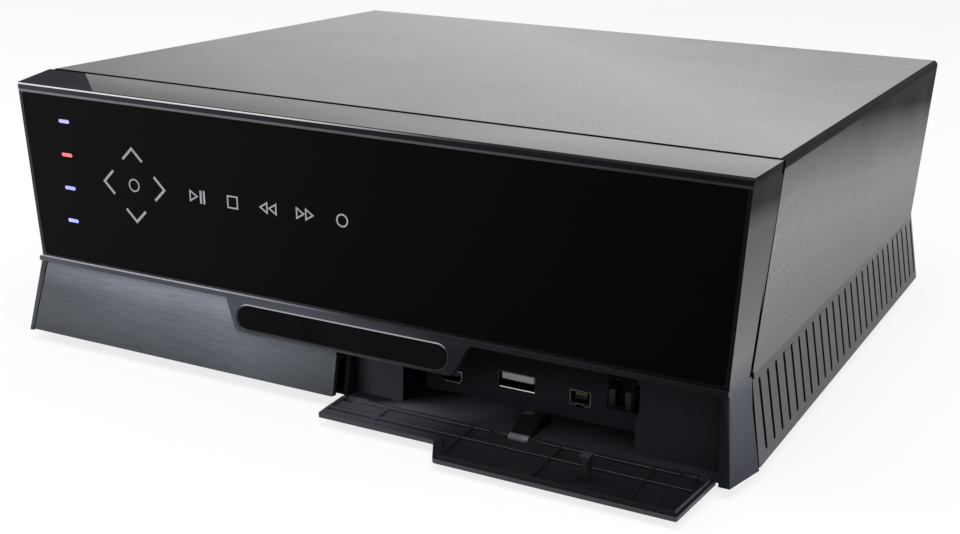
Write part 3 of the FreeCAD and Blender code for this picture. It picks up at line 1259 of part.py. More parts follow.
# ---- fan ---------------------------------------------------------------------------------
def fan_screw_places():
    """Two opposite corners of the fan, where it is screwed to the rear panel."""
    corner = FAN_SIZE / 2 - 4.0
    return [(FAN_X - corner, FAN_Z + corner), (FAN_X + corner, FAN_Z - corner)]


def make_fan_frame():
    half = FAN_SIZE / 2
    rear = PANEL_FRONT
    front = rear - FAN_DEPTH
    nip = half - 3.0
    body = along_y([(FAN_X - nip, FAN_Z - half), (FAN_X + nip, FAN_Z - half), (FAN_X + half, FAN_Z - nip),
                    (FAN_X + half, FAN_Z + nip), (FAN_X + nip, FAN_Z + half), (FAN_X - nip, FAN_Z + half),
                    (FAN_X - half, FAN_Z + nip), (FAN_X - half, FAN_Z - nip)], front, rear)
    bore = rod(FAN_X, front - 1, FAN_Z, (0, 1, 0), half - 1.5, FAN_DEPTH + 2)
    hub = rod(FAN_X, front, FAN_Z, (0, 1, 0), FAN_HUB - 0.5, 1.4)
    struts = []
    for i in range(3):
        strut = box(FAN_X - 1.2, FAN_X + 1.2, front, front + 1.4, FAN_Z + 4.0, FAN_Z + half - 1.0)
        strut.rotate(Vector(FAN_X, 0, FAN_Z), Vector(0, 1, 0), i * 120.0)
        struts.append(strut)
    holes = [rod(x, rear - FAN_SCREW_BITE, z, (0, 1, 0), SCREW_RADIUS, 9) for x, z in fan_screw_places()]
    bearing = rod(FAN_X, front - 1, FAN_Z, (0, 1, 0), FAN_SHAFT + HINGE_RUN, 4)
    return join(body.cut(bore), hub, *struts).cut(holes + [bearing])


def make_fan_rotor():
    front = PANEL_FRONT - FAN_DEPTH + 1.4 + FIT
    rear = PANEL_FRONT - FIT - 0.4
    reach = FAN_SIZE / 2 - 1.5 - FAN_TIP_AIR
    tip = math.sqrt(reach ** 2 - FAN_CHORD ** 2)
    hub = rod(FAN_X, front, FAN_Z, (0, 1, 0), FAN_HUB, rear - front)
    shaft = rod(FAN_X, front - 1.4 - FIT, FAN_Z, (0, 1, 0), FAN_SHAFT, 3)
    blades = []
    for i in range(FAN_BLADES):
        blade = box(FAN_X - FAN_CHORD, FAN_X + FAN_CHORD, (front + rear) / 2 - 0.5,
                    (front + rear) / 2 + 0.5, FAN_Z + FAN_HUB - 2.0, FAN_Z + tip)
        blade.rotate(Vector(FAN_X, (front + rear) / 2, FAN_Z), Vector(0, 0, 1), FAN_PITCH)
        blade.rotate(Vector(FAN_X, 0, FAN_Z), Vector(0, 1, 0), i * 360.0 / FAN_BLADES)
        blades.append(blade)
    return join(hub, shaft, *blades)


def make_fan_screws():
    return Part.makeCompound([hex_screw(Vector(x, PANEL_REAR, z), Vector(0, 1, 0),
                                        SHEET + FAN_SCREW_BITE - FIT, SHEET)
                              for x, z in fan_screw_places()])


# ---- assembly ----------------------------------------------------------------------------
def build():
    parts["top_cover"] = make_cover()
    parts["cover_screws"] = make_cover_screws()
    parts["base_pan"] = make_base_pan()
    parts["feet"] = make_feet()
    parts["rear_panel"] = make_rear_panel()
    parts["front_bezel"] = make_bezel()
    parts["touch_window"] = make_window()
    parts["badge_plate"] = make_badge()
    parts["key_board"] = make_key_board()
    parts["key_board_screws"] = make_key_board_screws()
    parts["light_guide"] = make_light_guide()
    parts["indicator_lights"] = make_lights()
    parts["remote_receiver"] = make_receiver()
    parts["port_recess"] = make_recess()
    parts["mini_usb_socket"] = make_usb_socket(MINI_USB, 0.2)
    parts["usb_socket"] = make_usb_socket(USB_A, 0.0)
    parts["dv_socket"] = make_dv_socket()
    parts["front_io_board"] = make_io_board()
    parts["catch_housing"] = make_catch_housing()
    parts["catch_plunger"] = make_catch_plunger()
    parts["catch_spring"] = make_catch_spring()
    parts["hinge_arm"] = make_hinge_arm()
    parts["hinge_pins"] = make_hinge_pins()
    parts["port_flap"] = make_flap()
    parts["tray_fascia"] = make_fascia()
    parts["fascia_screws"] = make_fascia_screws()
    parts["drive_tray"] = make_tray()
    parts["tray_runners"] = make_runners()
    parts["drive_case"] = make_drive_case()
    parts["drive_lid"] = make_drive_lid()
    parts["drive_board"] = make_drive_board()
    parts["drive_connector"] = make_drive_connector()
    parts["drive_screws"] = make_drive_screws()
    parts["tray_rails"] = make_rails()
    parts["rail_screws"] = make_rail_screws()
    parts["backplane_connector"] = make_backplane_connector()
    parts["backplane_board"] = make_backplane_board()
    parts["backplane_bracket"] = make_backplane_bracket()
    parts["main_board"] = make_main_board()
    parts["board_standoffs"] = make_standoffs()
    parts["board_screws"] = make_board_screws()
    parts["processor"] = make_processor()
    parts["heat_sink"] = make_heat_sink()
    parts["memory_chips"] = make_memory()
    parts["capacitors"] = make_capacitors()
    parts["power_jack"] = make_power_jack()
    parts["hdmi_socket"] = shell_socket("hdmi_socket", 1.0)
    parts["optical_socket"] = make_optical()
    parts["rear_usb_socket"] = shell_socket("rear_usb_socket", 1.8)
    parts["lan_socket"] = make_lan()
    parts["av_socket_block"] = make_av_block()
    parts["tuner_can"] = make_tuner()
    parts["antenna_socket"] = make_antenna_socket()
    parts["fan_frame"] = make_fan_frame()
    parts["fan_rotor"] = make_fan_rotor()
    parts["fan_screws"] = make_fan_screws()


def footprint_shift():
    """Move from the bezel's front edge to the middle of the footprint, on the table."""
    boxes = [shape.optimalBoundingBox(False) for shape in parts.values()]
    front = min(limits.YMin for limits in boxes)
    rear = max(limits.YMax for limits in boxes)
    return Vector(0, -(front + rear) / 2, -min(limits.ZMin for limits in boxes))


def save(shift):
    os.makedirs("parts", exist_ok=True)
    for name, shape in parts.items():
        shape.translate(shift)
        shape.exportStep(os.path.join("parts", name + ".step"))


build()
SHIFT = footprint_shift()
save(SHIFT)
print("origin shift", round(SHIFT.y, 3), round(SHIFT.z, 3))
print("flap hinge", round(HINGE_Y + SHIFT.y, 3), round(HINGE_Z + SHIFT.z, 3))
print("fan axis", FAN_X, round(FAN_Z + SHIFT.z, 3))
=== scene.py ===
"""Finishes, signs, trim and studio for the desktop media recorder."""
import math
import bmesh
import bpy
from mathutils import Matrix, Vector


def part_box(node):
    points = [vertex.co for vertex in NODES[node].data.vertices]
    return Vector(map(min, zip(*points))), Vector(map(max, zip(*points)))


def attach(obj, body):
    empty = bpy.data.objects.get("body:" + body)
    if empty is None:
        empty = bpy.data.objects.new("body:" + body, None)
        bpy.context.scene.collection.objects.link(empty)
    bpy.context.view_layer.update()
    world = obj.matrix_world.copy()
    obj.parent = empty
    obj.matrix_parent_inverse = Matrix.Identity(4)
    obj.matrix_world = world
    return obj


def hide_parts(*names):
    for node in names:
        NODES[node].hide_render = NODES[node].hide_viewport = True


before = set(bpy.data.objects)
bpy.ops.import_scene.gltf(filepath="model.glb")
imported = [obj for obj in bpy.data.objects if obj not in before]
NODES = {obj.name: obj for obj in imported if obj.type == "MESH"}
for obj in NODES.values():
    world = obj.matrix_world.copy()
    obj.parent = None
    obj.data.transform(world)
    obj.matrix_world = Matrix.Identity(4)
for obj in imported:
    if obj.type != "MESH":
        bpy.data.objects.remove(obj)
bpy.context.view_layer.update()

MM = 0.001

# ---- places, in millimetres: y from the bezel's front top edge, z from the case's under edge ----
SHIFT = Vector((0.0, -105.638, 3.5))
WAIST = Vector((0.0, 3.2, 26.8))
FOOT = Vector((0.0, -1.5, 0.0))
TOP = Vector((0.0, 0.0, 87.3))
CASE_TOP = 89.2
JOINT_FOOT_Y, JOINT_WAIST_Y, JOINT_TOP_Y = 14.75, 16.95, 19.25     # joint of bezel and cover
SKIN_FOOT_HALF, SKIN_WAIST_HALF, SKIN_TOP_HALF = 131.1, 126.1, 129.9
FOLD_Z = 86.4                                       # where the cover's sides begin to fold into its lid
LID_LEVEL = 0.985                                   # a normal that points up more than this is the lid's
LINE_LOW, LINE_HIGH = 3.0, 2.2                      # painted highlight line over the window, down from the top front edge
WINDOW_UP = (TOP - WAIST).normalized()
WINDOW_IN = Vector((0.0, WINDOW_UP.z, -WINDOW_UP.y))
WINDOW_SLOPE = (TOP - WAIST).length
PANEL_UP = (WAIST - FOOT).normalized()
PANEL_IN = Vector((0.0, PANEL_UP.z, -PANEL_UP.y))
PANEL_SLOPE = (WAIST - FOOT).length
HINGE = Vector((0.0, -1.1, 0.5))
FLAP_SWING = math.radians(102.8)
FLAP_OPEN = Matrix.Rotation(FLAP_SWING, 3, "X")
FLAP_SHUT = Matrix.Rotation(-FLAP_SWING, 3, "X")
FLAP_LEFT, FLAP_STEP, FLAP_RIGHT = 2.5, 44.6, 121.0  # flap's ends, and the step in its outline
LEDGE_END_X, LEDGE_END_Y = -103.2, 8.0              # middle of the line where the ledge's painted dark reflection begins
LEDGE_SLANT = -1.08                                 # how far that line leans


def at(x, y, z):
    return (Vector((x, y, z)) + SHIFT) * MM


def on_window(x, s, depth=0.0):
    """Point on the bezel's upper front: s up from the waist, depth inwards."""
    return (WAIST + Vector((x, 0, 0)) + WINDOW_UP * s + WINDOW_IN * depth + SHIFT) * MM


def on_panel(x, s, depth=0.0):
    """Point on the lower front: s up from the foot, depth inwards."""
    return (FOOT + Vector((x, 0, 0)) + PANEL_UP * s + PANEL_IN * depth + SHIFT) * MM


def on_flap(x, s, depth=0.0):
    """Point on the open flap: s from its foot edge, depth from its outer face."""
    closed = FOOT + Vector((x, 0, 0)) + PANEL_UP * s + PANEL_IN * depth
    return (HINGE + FLAP_OPEN @ (closed - HINGE) + SHIFT) * MM


# ---- shader nodes and groups -------------------------------------------------------------
def link(tree, a, b):
    tree.links.new(a, b)


def feed(tree, value, socket):
    """Give a socket a number, or link another node's output to it."""
    if isinstance(value, bpy.types.NodeSocket):
        link(tree, value, socket)
    else:
        socket.default_value = value


def maths(tree, operation, *values):
    node = tree.nodes.new("ShaderNodeMath")
    node.operation = operation
    for value, socket in zip(values, node.inputs):
        feed(tree, value, socket)
    return node.outputs[0]


def spread(tree, source, low, high, start=0.3, end=0.7):
    """Value between two, as a source goes from start to end."""
    node = tree.nodes.new("ShaderNodeMapRange")
    node.inputs["From Min"].default_value = start
    node.inputs["From Max"].default_value = end
    node.inputs["To Min"].default_value = low
    node.inputs["To Max"].default_value = high
    link(tree, source, node.inputs["Value"])
    return node.outputs["Result"]


def place_on(tree, stretch=None):
    """Place on the object, stretched if asked."""
    place = tree.nodes.new("ShaderNodeTexCoord").outputs["Object"]
    if stretch is None:
        return place
    node = tree.nodes.new("ShaderNodeMapping")
    node.inputs["Scale"].default_value = stretch
    link(tree, place, node.inputs["Vector"])
    return node.outputs["Vector"]


def noise(tree, place, scale, detail):
    node = tree.nodes.new("ShaderNodeTexNoise")
    node.inputs["Detail"].default_value = detail
    link(tree, place, node.inputs["Vector"])
    feed(tree, scale, node.inputs["Scale"])
    return node.outputs["Fac"]


def shader_group(name, inputs, outputs):
    """New node group with number sockets; inputs are names with their defaults."""
    tree = bpy.data.node_groups.new(name, "ShaderNodeTree")
    for label, value in inputs:
        socket = tree.interface.new_socket(name=label, in_out="INPUT", socket_type="NodeSocketFloat")
        socket.default_value = value
    for label in outputs:
        tree.interface.new_socket(name=label, in_out="OUTPUT", socket_type="NodeSocketFloat")
    return tree, tree.nodes.new("NodeGroupInput").outputs, tree.nodes.new("NodeGroupOutput").inputs


def build_grain():
    """Fine even grain: a height for bump, and a slow cloud for tone."""
    tree, given, out = shader_group("fine_grain", [("Scale", 4000.0), ("Cloud Scale", 25.0)],
                                    ["Height", "Cloud"])
    place = place_on(tree)
    link(tree, noise(tree, place, given["Scale"], 2.0), out["Height"])
    link(tree, noise(tree, place, given["Cloud Scale"], 3.0), out["Cloud"])
    return tree


def build_brushed():
    """Straight brushing along X, broken up by soft blotches."""
    tree, given, out = shader_group("brushed_lines", [("Fineness", 900.0), ("Blotch Scale", 30.0)],
                                    ["Height", "Tone"])
    lines = noise(tree, place_on(tree, (0.08, 1.0, 1.0)), given["Fineness"], 4.0)
    blotch = noise(tree, place_on(tree, (0.45, 1.0, 1.3)), given["Blotch Scale"], 2.0)
    link(tree, lines, out["Height"])
    link(tree, maths(tree, "MULTIPLY_ADD", lines, 0.4, maths(tree, "MULTIPLY", blotch, 0.6)), out["Tone"])
    return tree


def build_dust():
    """Sparse specks of dust, as a mask from 0 to 1."""
    tree, given, out = shader_group("dust_specks", [("Scale", 700.0), ("Amount", 0.1)], ["Mask"])
    place = place_on(tree)
    cells = tree.nodes.new("ShaderNodeTexVoronoi")
    link(tree, place, cells.inputs["Vector"])
    link(tree, given["Scale"], cells.inputs["Scale"])
    near = spread(tree, cells.outputs["Distance"], 0.0, 1.0, 0.16, 0.04)
    rare = spread(tree, noise(tree, place, 60.0, 2.0), 0.0, 1.0, 0.5, 0.75)
    link(tree, maths(tree, "MULTIPLY", maths(tree, "MULTIPLY", near, rare), given["Amount"]), out["Mask"])
    return tree


GRAIN = build_grain()
BRUSHED = build_brushed()
DUST = build_dust()


# ---- materials ---------------------------------------------------------------------------
DUST_TINT = (0.35, 0.35, 0.35, 1.0)
ACROSS = (1.0, 0.0, 0.0)
UPWARD = (0.0, 0.0, 1.0)


def new_material(name, rough, metal=0.0, specular=0.5):
    made = bpy.data.materials.new(name)
    made.use_nodes = True
    shader = made.node_tree.nodes["Principled BSDF"]
    shader.inputs["Roughness"].default_value = rough
    shader.inputs["Metallic"].default_value = metal
    shader.inputs["Specular IOR Level"].default_value = specular
    return made, made.node_tree, shader


def placed(tree, group, **values):
    node = tree.nodes.new("ShaderNodeGroup")
    node.node_tree = group
    for label, value in values.items():
        node.inputs[label.replace("_", " ")].default_value = value
    return node


def ramp(tree, source, low, high, start=0.3, end=0.7):
    """Colour between two, as a source goes from start to end."""
    node = tree.nodes.new("ShaderNodeValToRGB")
    node.color_ramp.elements[0].position = start
    node.color_ramp.elements[0].color = (*low, 1.0)
    node.color_ramp.elements[1].position = end
    node.color_ramp.elements[1].color = (*high, 1.0)
    link(tree, source, node.inputs["Fac"])
    return node.outputs["Color"]


def stepped(tree, source, stops):
    """Colour ramp over a source from 0 to 1, with its stops given by place in metres."""
    node = tree.nodes.new("ShaderNodeValToRGB")
    reach = stops[-1][0] - stops[0][0]
    for i, (place, colour) in enumerate(stops):
        spot = (place - stops[0][0]) / reach
        mark = node.color_ramp.elements[i] if i < 2 else node.color_ramp.elements.new(spot)
        mark.position = spot
        mark.color = (*colour, 1.0)
    link(tree, source, node.inputs["Fac"])
    return node.outputs["Color"]


def along(tree, axis, stops):
    """How far a place is along an axis, from 0 at the first stop to 1 at the last."""
    turn = tree.nodes.new("ShaderNodeVectorMath")
    turn.operation = "DOT_PRODUCT"
    turn.inputs[1].default_value = axis
    link(tree, place_on(tree), turn.inputs[0])
    return spread(tree, turn.outputs["Value"], 0.0, 1.0, stops[0][0], stops[-1][0])


def shaded(tree, tone, axis, stops):
    """Tone with painted light and shade along an axis; stops give metres, each with how light it is there.
    """
    greys = [(spot, (v, v, v)) for spot, v in stops]
    scaled = tree.nodes.new("ShaderNodeVectorMath")
    scaled.operation = "MULTIPLY"
    link(tree, tone, scaled.inputs[0])
    link(tree, stepped(tree, along(tree, axis, stops), greys), scaled.inputs[1])
    return scaled.outputs["Vector"]


def bump(tree, shader, height, strength, distance):
    node = tree.nodes.new("ShaderNodeBump")
    node.inputs["Strength"].default_value = strength
    node.inputs["Distance"].default_value = distance
    link(tree, height, node.inputs["Height"])
    link(tree, node.outputs["Normal"], shader.inputs["Normal"])


def grained(name, low, high, rough, rough_spread=0.05, scale=4000.0, cloud=25.0, strength=0.15,
            distance=0.00004, dust=0.0, **shader_values):
    """Painted or moulded surface with fine grain, a slow change of tone and, if asked, dust."""
    made, tree, shader = new_material(name, rough, **shader_values)
    group = placed(tree, GRAIN, Scale=scale, Cloud_Scale=cloud)
    tone = ramp(tree, group.outputs["Cloud"], low, high)
    if dust > 0.0:
        specks = placed(tree, DUST, Amount=dust)
        mix = tree.nodes.new("ShaderNodeMix")
        mix.data_type = "RGBA"
        link(tree, specks.outputs["Mask"], mix.inputs["Factor"])
        link(tree, tone, mix.inputs["A"])
        mix.inputs["B"].default_value = DUST_TINT
        tone = mix.outputs["Result"]
    link(tree, tone, shader.inputs["Base Color"])
    link(tree, spread(tree, group.outputs["Cloud"], rough - rough_spread, rough + rough_spread),
         shader.inputs["Roughness"])
    bump(tree, shader, group.outputs["Height"], strength, distance)
    return made


def graded(name, stops, axis, rough, rough_spread=0.03, scale=1800.0, strength=0.03, sway=0.04,
           fleck=0.0, **shader_values):
    """Surface whose tone runs along one axis of the object as painted light and shade, broken up by a slow
    cloud and fine flecks.
    """
    made, tree, shader = new_material(name, rough, **shader_values)
    group = placed(tree, GRAIN, Scale=scale, Cloud_Scale=35.0)
    drift = spread(tree, group.outputs["Cloud"], -sway, sway, 0.0, 1.0)
    tone = stepped(tree, maths(tree, "ADD", drift, along(tree, axis, stops)), stops)
    if fleck > 0.0:
        fine = placed(tree, GRAIN, Scale=1700.0)
        flecked = tree.nodes.new("ShaderNodeVectorMath")
        flecked.operation = "SCALE"
        link(tree, tone, flecked.inputs[0])
        link(tree, spread(tree, fine.outputs["Height"], 1.0 - fleck, 1.0 + fleck), flecked.inputs["Scale"])
        tone = flecked.outputs["Vector"]
    link(tree, tone, shader.inputs["Base Color"])
    link(tree, spread(tree, group.outputs["Cloud"], rough - rough_spread, rough + rough_spread),
         shader.inputs["Roughness"])
    bump(tree, shader, group.outputs["Height"], strength, 0.00001)
    return made


def brushed(name, low, high, rough, fineness=900.0, blotch=30.0, strength=0.2, metal=0.0, shades=(),
            **shader_values):
    """Surface brushed along X; each of the shades is an axis of painted light, with its stops as in shaded.
    """
    made, tree, shader = new_material(name, rough, metal=metal, **shader_values)
    group = placed(tree, BRUSHED, Fineness=fineness, Blotch_Scale=blotch)
    tone = ramp(tree, group.outputs["Tone"], low, high, 0.38, 0.62)
    for shade_axis, shade_stops in shades:
        tone = shaded(tree, tone, shade_axis, shade_stops)
    link(tree, tone, shader.inputs["Base Color"])
    link(tree, spread(tree, group.outputs["Tone"], rough - 0.06, rough + 0.1, 0.35, 0.65),
         shader.inputs["Roughness"])
    bump(tree, shader, group.outputs["Height"], strength, 0.00003)
    return made


def glowing(name, colour, strength):
    """Face of a status light, a little dimmer in patches."""
    made, tree, shader = new_material(name, 0.4)
    group = placed(tree, GRAIN, Scale=2500.0, Cloud_Scale=900.0)
    dim = tuple(c * 0.75 for c in colour)
    tone = ramp(tree, group.outputs["Cloud"], dim, colour, 0.35, 0.6)
    link(tree, tone, shader.inputs["Base Color"])
    link(tree, tone, shader.inputs["Emission Color"])
    shader.inputs["Emission Strength"].default_value = strength
    return made


def grey(v):
    """Black paint as a painted tone: v is how light the painted light or shade makes it."""
    return (v, v * 1.01, v * 1.03)


def slate(v):
    """The same for moulded plastic, which is bluer."""
    return (v, v * 1.03, v * 1.24)


def edge_line(name, stops):
    """Thin painted highlight line that runs across the bezel."""
    return graded(name, stops, ACROSS, 0.25, 0.04, sway=0.01, specular=0.02)


COVER = grained("cover_powder_coat", grey(0.135), grey(0.165), 0.36, 0.03, scale=5200.0, cloud=14.0,
                strength=0.22, distance=0.00005, dust=0.2, specular=0.65)
# Lid: black paint with a painted reflection, dark at the front left and lighter across the middle.
LID_PAINTED_REFLECTION = graded("cover_lid_painted_reflection", [(-0.2, grey(0.01)), (-0.12, grey(0.12)), (0.06, grey(0.25)),
                                (0.2, grey(0.14))],
             (1.0, 1.0, 0.0), 0.36, 0.02, scale=5200.0, strength=0.4, sway=0.02, fleck=0.2,
             specular=0.3)
# Cover sides: black paint with a painted reflection, lighter in the middle and dark towards the top fold.
COVER_SIDE_PAINTED_REFLECTION = graded("cover_side_painted_reflection", [(0.02, grey(0.17)), (0.06, grey(0.25)), (0.07, grey(0.23)),
                                        (0.083, grey(0.12)), (0.092, grey(0.01))],
                    (0.0, 0.114, 1.0), 0.4, 0.03, scale=5200.0, strength=0.5, sway=0.02,
                    fleck=0.24, specular=0.005)
# Lower sides of the cover: painted shade, darker towards the bottom, where they face down.
COVER_SKIRT_PAINTED_SHADE = graded("cover_skirt_painted_shade", [(0.0, grey(0.09)), (0.03, grey(0.1)), (0.048, grey(0.19))],
                     (0.0, 0.1, 1.0), 0.4, 0.03, scale=5200.0, strength=0.5, sway=0.02,
                     fleck=0.24, specular=0.05)
# Folds between the cover's sides and its lid: painted shade, near black.
COVER_FOLD_PAINTED_SHADE = grained("cover_fold_painted_shade", (0.012, 0.012, 0.013), (0.02, 0.02, 0.022), 0.4, 0.03,
                     scale=5200.0, strength=0.15, specular=0.003)
# Inner faces of the cover and the base pan: painted shade, near black.
INSIDE_PAINTED_SHADE = grained("case_inside_painted_shade", (0.004, 0.004, 0.004), (0.007, 0.007, 0.007), 0.8, 0.05,
                       scale=3200.0, strength=0.1, specular=0.0)
BEZEL = grained("bezel_gloss_black", (0.008, 0.0085, 0.011), (0.012, 0.0125, 0.016), 0.12, 0.02,
                scale=1800.0, cloud=30.0, strength=0.03, distance=0.00001, dust=0.1, specular=0.05)
# Ledge on top of the bezel: gloss black with a painted reflection, darker at the left and lighter to the
# right.
LEDGE_PAINTED_REFLECTION = graded("bezel_ledge_painted_reflection", [(0.065, grey(0.001)), (0.11, grey(0.055)),
                               (0.17, grey(0.095)), (0.25, grey(0.2))],
               (1.0, -2.0, 0.0), 0.2, 0.03, sway=0.01, specular=0.06)
# Left end of the ledge: painted dark reflection.
LEDGE_END_PAINTED_REFLECTION = grained("bezel_ledge_end_painted_reflection", (0.026, 0.026, 0.03), (0.034, 0.034, 0.039), 0.2, 0.03,
                    scale=1800.0, strength=0.03, distance=0.00001, specular=0.0)
# Sides of the bezel: gloss black with a painted reflection, lighter at mid height and dark near the top.
CHEEK_PAINTED_REFLECTION = graded("bezel_side_painted_reflection", [(0.0, slate(0.04)), (0.027, slate(0.09)), (0.038, grey(0.18)),
                                    (0.076, grey(0.1)), (0.083, slate(0.01))],
               UPWARD, 0.2, 0.03, sway=0.015, specular=0.018)
# Front of the bezel over the window: painted reflection, lighter at the left and darker to the right.
BAND_PAINTED_REFLECTION = graded("bezel_front_painted_reflection", [(-0.13, slate(0.045)), (0.0, slate(0.014)), (0.13, slate(0.004))],
              ACROSS, 0.12, 0.02, sway=0.01, specular=0.02)
TOP_SHADE = graded("bezel_edge_shade", [(-0.13, (0.03, 0.03, 0.034)), (0.13, (0.012, 0.012, 0.014))],
                   ACROSS, 0.2, 0.02, specular=0.02)
SEAM = grained("bezel_seam_shadow", (0.002, 0.002, 0.002), (0.004, 0.004, 0.004), 0.8, 0.05, specular=0.0)
# Rounded top front edge of the bezel: painted highlight, bright at the left and fading to the right.
EDGE_PAINTED_HIGHLIGHT = edge_line("bezel_edge_painted_highlight", [(-0.13, grey(0.7)), (-0.02, grey(0.6)), (0.03, grey(0.08)),
                                         (0.05, grey(0.02))])
# Top of the bead under the window: painted highlight, bright at the left.
BEAD_PAINTED_HIGHLIGHT = edge_line("bezel_bead_painted_highlight", [(-0.05, grey(0.4)), (0.005, grey(0.03)), (0.13, grey(0.005))])
# Edge of the bezel round the window: painted highlight, fading from left to right.
WINDOW_EDGE_PAINTED_HIGHLIGHT = edge_line("window_edge_painted_highlight", [(-0.13, grey(0.2)), (0.0, grey(0.1)), (0.1, grey(0.025))])
# Bead under the window: painted reflection, lighter at the left and near black at the right.
BEAD_PAINTED_REFLECTION = graded("bezel_bead_painted_reflection", [(-0.015, slate(0.06)), (0.035, slate(0.012)), (0.125, slate(0.004))],
              ACROSS, 0.3, 0.04, scale=3500.0, strength=0.08, sway=0.01, specular=0.04)
# Tinted acrylic window, with a faint painted reflection, lighter at the top left.
WINDOW_PAINTED_REFLECTION = graded("window_tinted_acrylic_painted_reflection", [(-0.16, grey(0.0075)), (0.0, grey(0.003)), (0.12, grey(0.0005))],
                (0.9, 0.0, -0.35), 0.07, 0.01, scale=900.0, strength=0.01, specular=0.012)
# Tray's front: brushed paint, with a painted highlight lighter towards the top and across the middle.
FASCIA_PAINTED_HIGHLIGHT = brushed("fascia_brushed_painted_highlight", (0.17, 0.188, 0.222), (0.265, 0.29, 0.335), 0.34,
                 fineness=1400.0, blotch=28.0, strength=0.25, metal=0.3,
                 shades=((UPWARD, ((0.003, 0.2), (0.02, 0.45), (0.029, 1.0))),
                         (ACROSS, ((-0.13, 0.75), (-0.035, 1.3), (-0.004, 0.6)))))
FOOT_STRIP = brushed("bezel_foot_strip", (0.03, 0.034, 0.041), (0.05, 0.056, 0.066), 0.34, fineness=1400.0,
                     metal=0.3)
# Upward faces of the tray's front: painted highlight, a lighter copy of its brushed paint.
FASCIA_TOP_PAINTED_HIGHLIGHT = brushed("fascia_top_painted_highlight", (0.24, 0.25, 0.27), (0.34, 0.35, 0.37), 0.3, fineness=1400.0)
# Ends of the tray's front: painted shade, near black.
FASCIA_END_PAINTED_SHADE = grained("fascia_end_painted_shade", (0.01, 0.011, 0.014), (0.016, 0.018, 0.022), 0.4, 0.04,
                      scale=2600.0, specular=0.1)
# Moulded black of the flap: painted reflection, lighter at its left end.
FLAP_PAINTED_REFLECTION = graded("flap_black_painted_reflection", [(0.02, slate(0.045)), (0.045, slate(0.01)), (0.124, slate(0.007))],
              ACROSS, 0.3, 0.06, scale=2600.0, strength=0.12, sway=0.02, specular=0.08)
FLAP_FACE = brushed("flap_brushed_paint", (0.06, 0.067, 0.08), (0.105, 0.115, 0.13), 0.34, fineness=1400.0,
                    metal=0.3)
FLAP_GLINT = grained("flap_rib_glint", (0.085, 0.087, 0.095), (0.14, 0.142, 0.15), 0.3, 0.05,
                     scale=2600.0, strength=0.05, specular=0.05)
# Upper faces of the striker: painted highlight.
HOOK_TOP_PAINTED_HIGHLIGHT = grained("flap_hook_painted_highlight", (0.018, 0.018, 0.022), (0.03, 0.03, 0.035), 0.2, 0.05,
                   scale=2600.0, strength=0.05, specular=0.15)
# Outer rim of the flap: painted highlight.
FLAP_RIM_PAINTED_HIGHLIGHT = grained("flap_rim_painted_highlight", (0.035, 0.036, 0.041), (0.05, 0.052, 0.058), 0.35, 0.05,
                    scale=2600.0, strength=0.08, specular=0.2)
# Moulded black of the socket recess: painted shade, near black at the left wall; painted light just right
# of it, darker further right.
RECESS_PAINTED_LIGHT_AND_SHADE = graded("recess_black_painted_light_and_shade", [(0.003, slate(0.003)), (0.009, slate(0.055)), (0.022, slate(0.05)),
                                         (0.03, slate(0.025)), (0.124, slate(0.01))],
                ACROSS, 0.42, 0.06, scale=3000.0, strength=0.12, sway=0.008, specular=0.03)
# Floor of the recess: painted light, a lighter diagonal band near the back wall.
RECESS_FLOOR_PAINTED_LIGHT = graded("recess_floor_painted_light", [(-0.15, slate(0.015)), (-0.126, slate(0.08)),
                                             (-0.116, slate(0.012))],
                      (-1.0, 1.0, 0.0), 0.42, 0.06, scale=3000.0, strength=0.12, sway=0.02,
                      specular=0.03)
# Back wall of the recess: painted shade, darker towards the top, under the overhang.
RECESS_BACK_PAINTED_SHADE = graded("recess_back_painted_shade", [(0.004, slate(0.03)), (0.012, slate(0.011))],
                     (-0.12, 0.0, 1.0), 0.5, 0.06, scale=3000.0, strength=0.12, sway=0.02,
                     specular=0.02)
JAW = grained("catch_jaw_black", (0.009, 0.009, 0.011), (0.014, 0.014, 0.017), 0.25, 0.05,
              scale=1500.0, cloud=70.0, strength=0.04, specular=0.06)
# Knuckle of the hinge arm: painted highlight, a lighter copy of the arm's gloss black.
KNUCKLE_PAINTED_HIGHLIGHT = grained("arm_knuckle_painted_highlight", (0.045, 0.047, 0.052), (0.1, 0.103, 0.11), 0.2, 0.04,
                  scale=1500.0, cloud=160.0, strength=0.04, specular=0.15)
# Catch housing and the recess's stepped corner: black, painted darker as shade.
CATCH_BLACK_AND_SHADE = grained("catch_housing_black_painted_shade", (0.002, 0.002, 0.003), (0.004, 0.004, 0.005), 0.5, 0.05,
                scale=3000.0, specular=0.02)
ARM = grained("arm_gloss_black", (0.004, 0.004, 0.005), (0.007, 0.007, 0.009), 0.14, 0.03,
              scale=1500.0, cloud=70.0, strength=0.04, specular=0.2)
BADGE = grained("badge_gloss_black", (0.002, 0.002, 0.003), (0.004, 0.004, 0.005), 0.1, 0.02,
                scale=1500.0, cloud=60.0, strength=0.02, specular=0.03)
DULL_NICKEL = brushed("dull_nickel", (0.05, 0.049, 0.045), (0.09, 0.088, 0.082), 0.3, metal=1.0,
                      fineness=2500.0)
SOCKET_RIM = brushed("socket_rim_nickel", (0.15, 0.147, 0.138), (0.25, 0.245, 0.235), 0.3, metal=1.0)
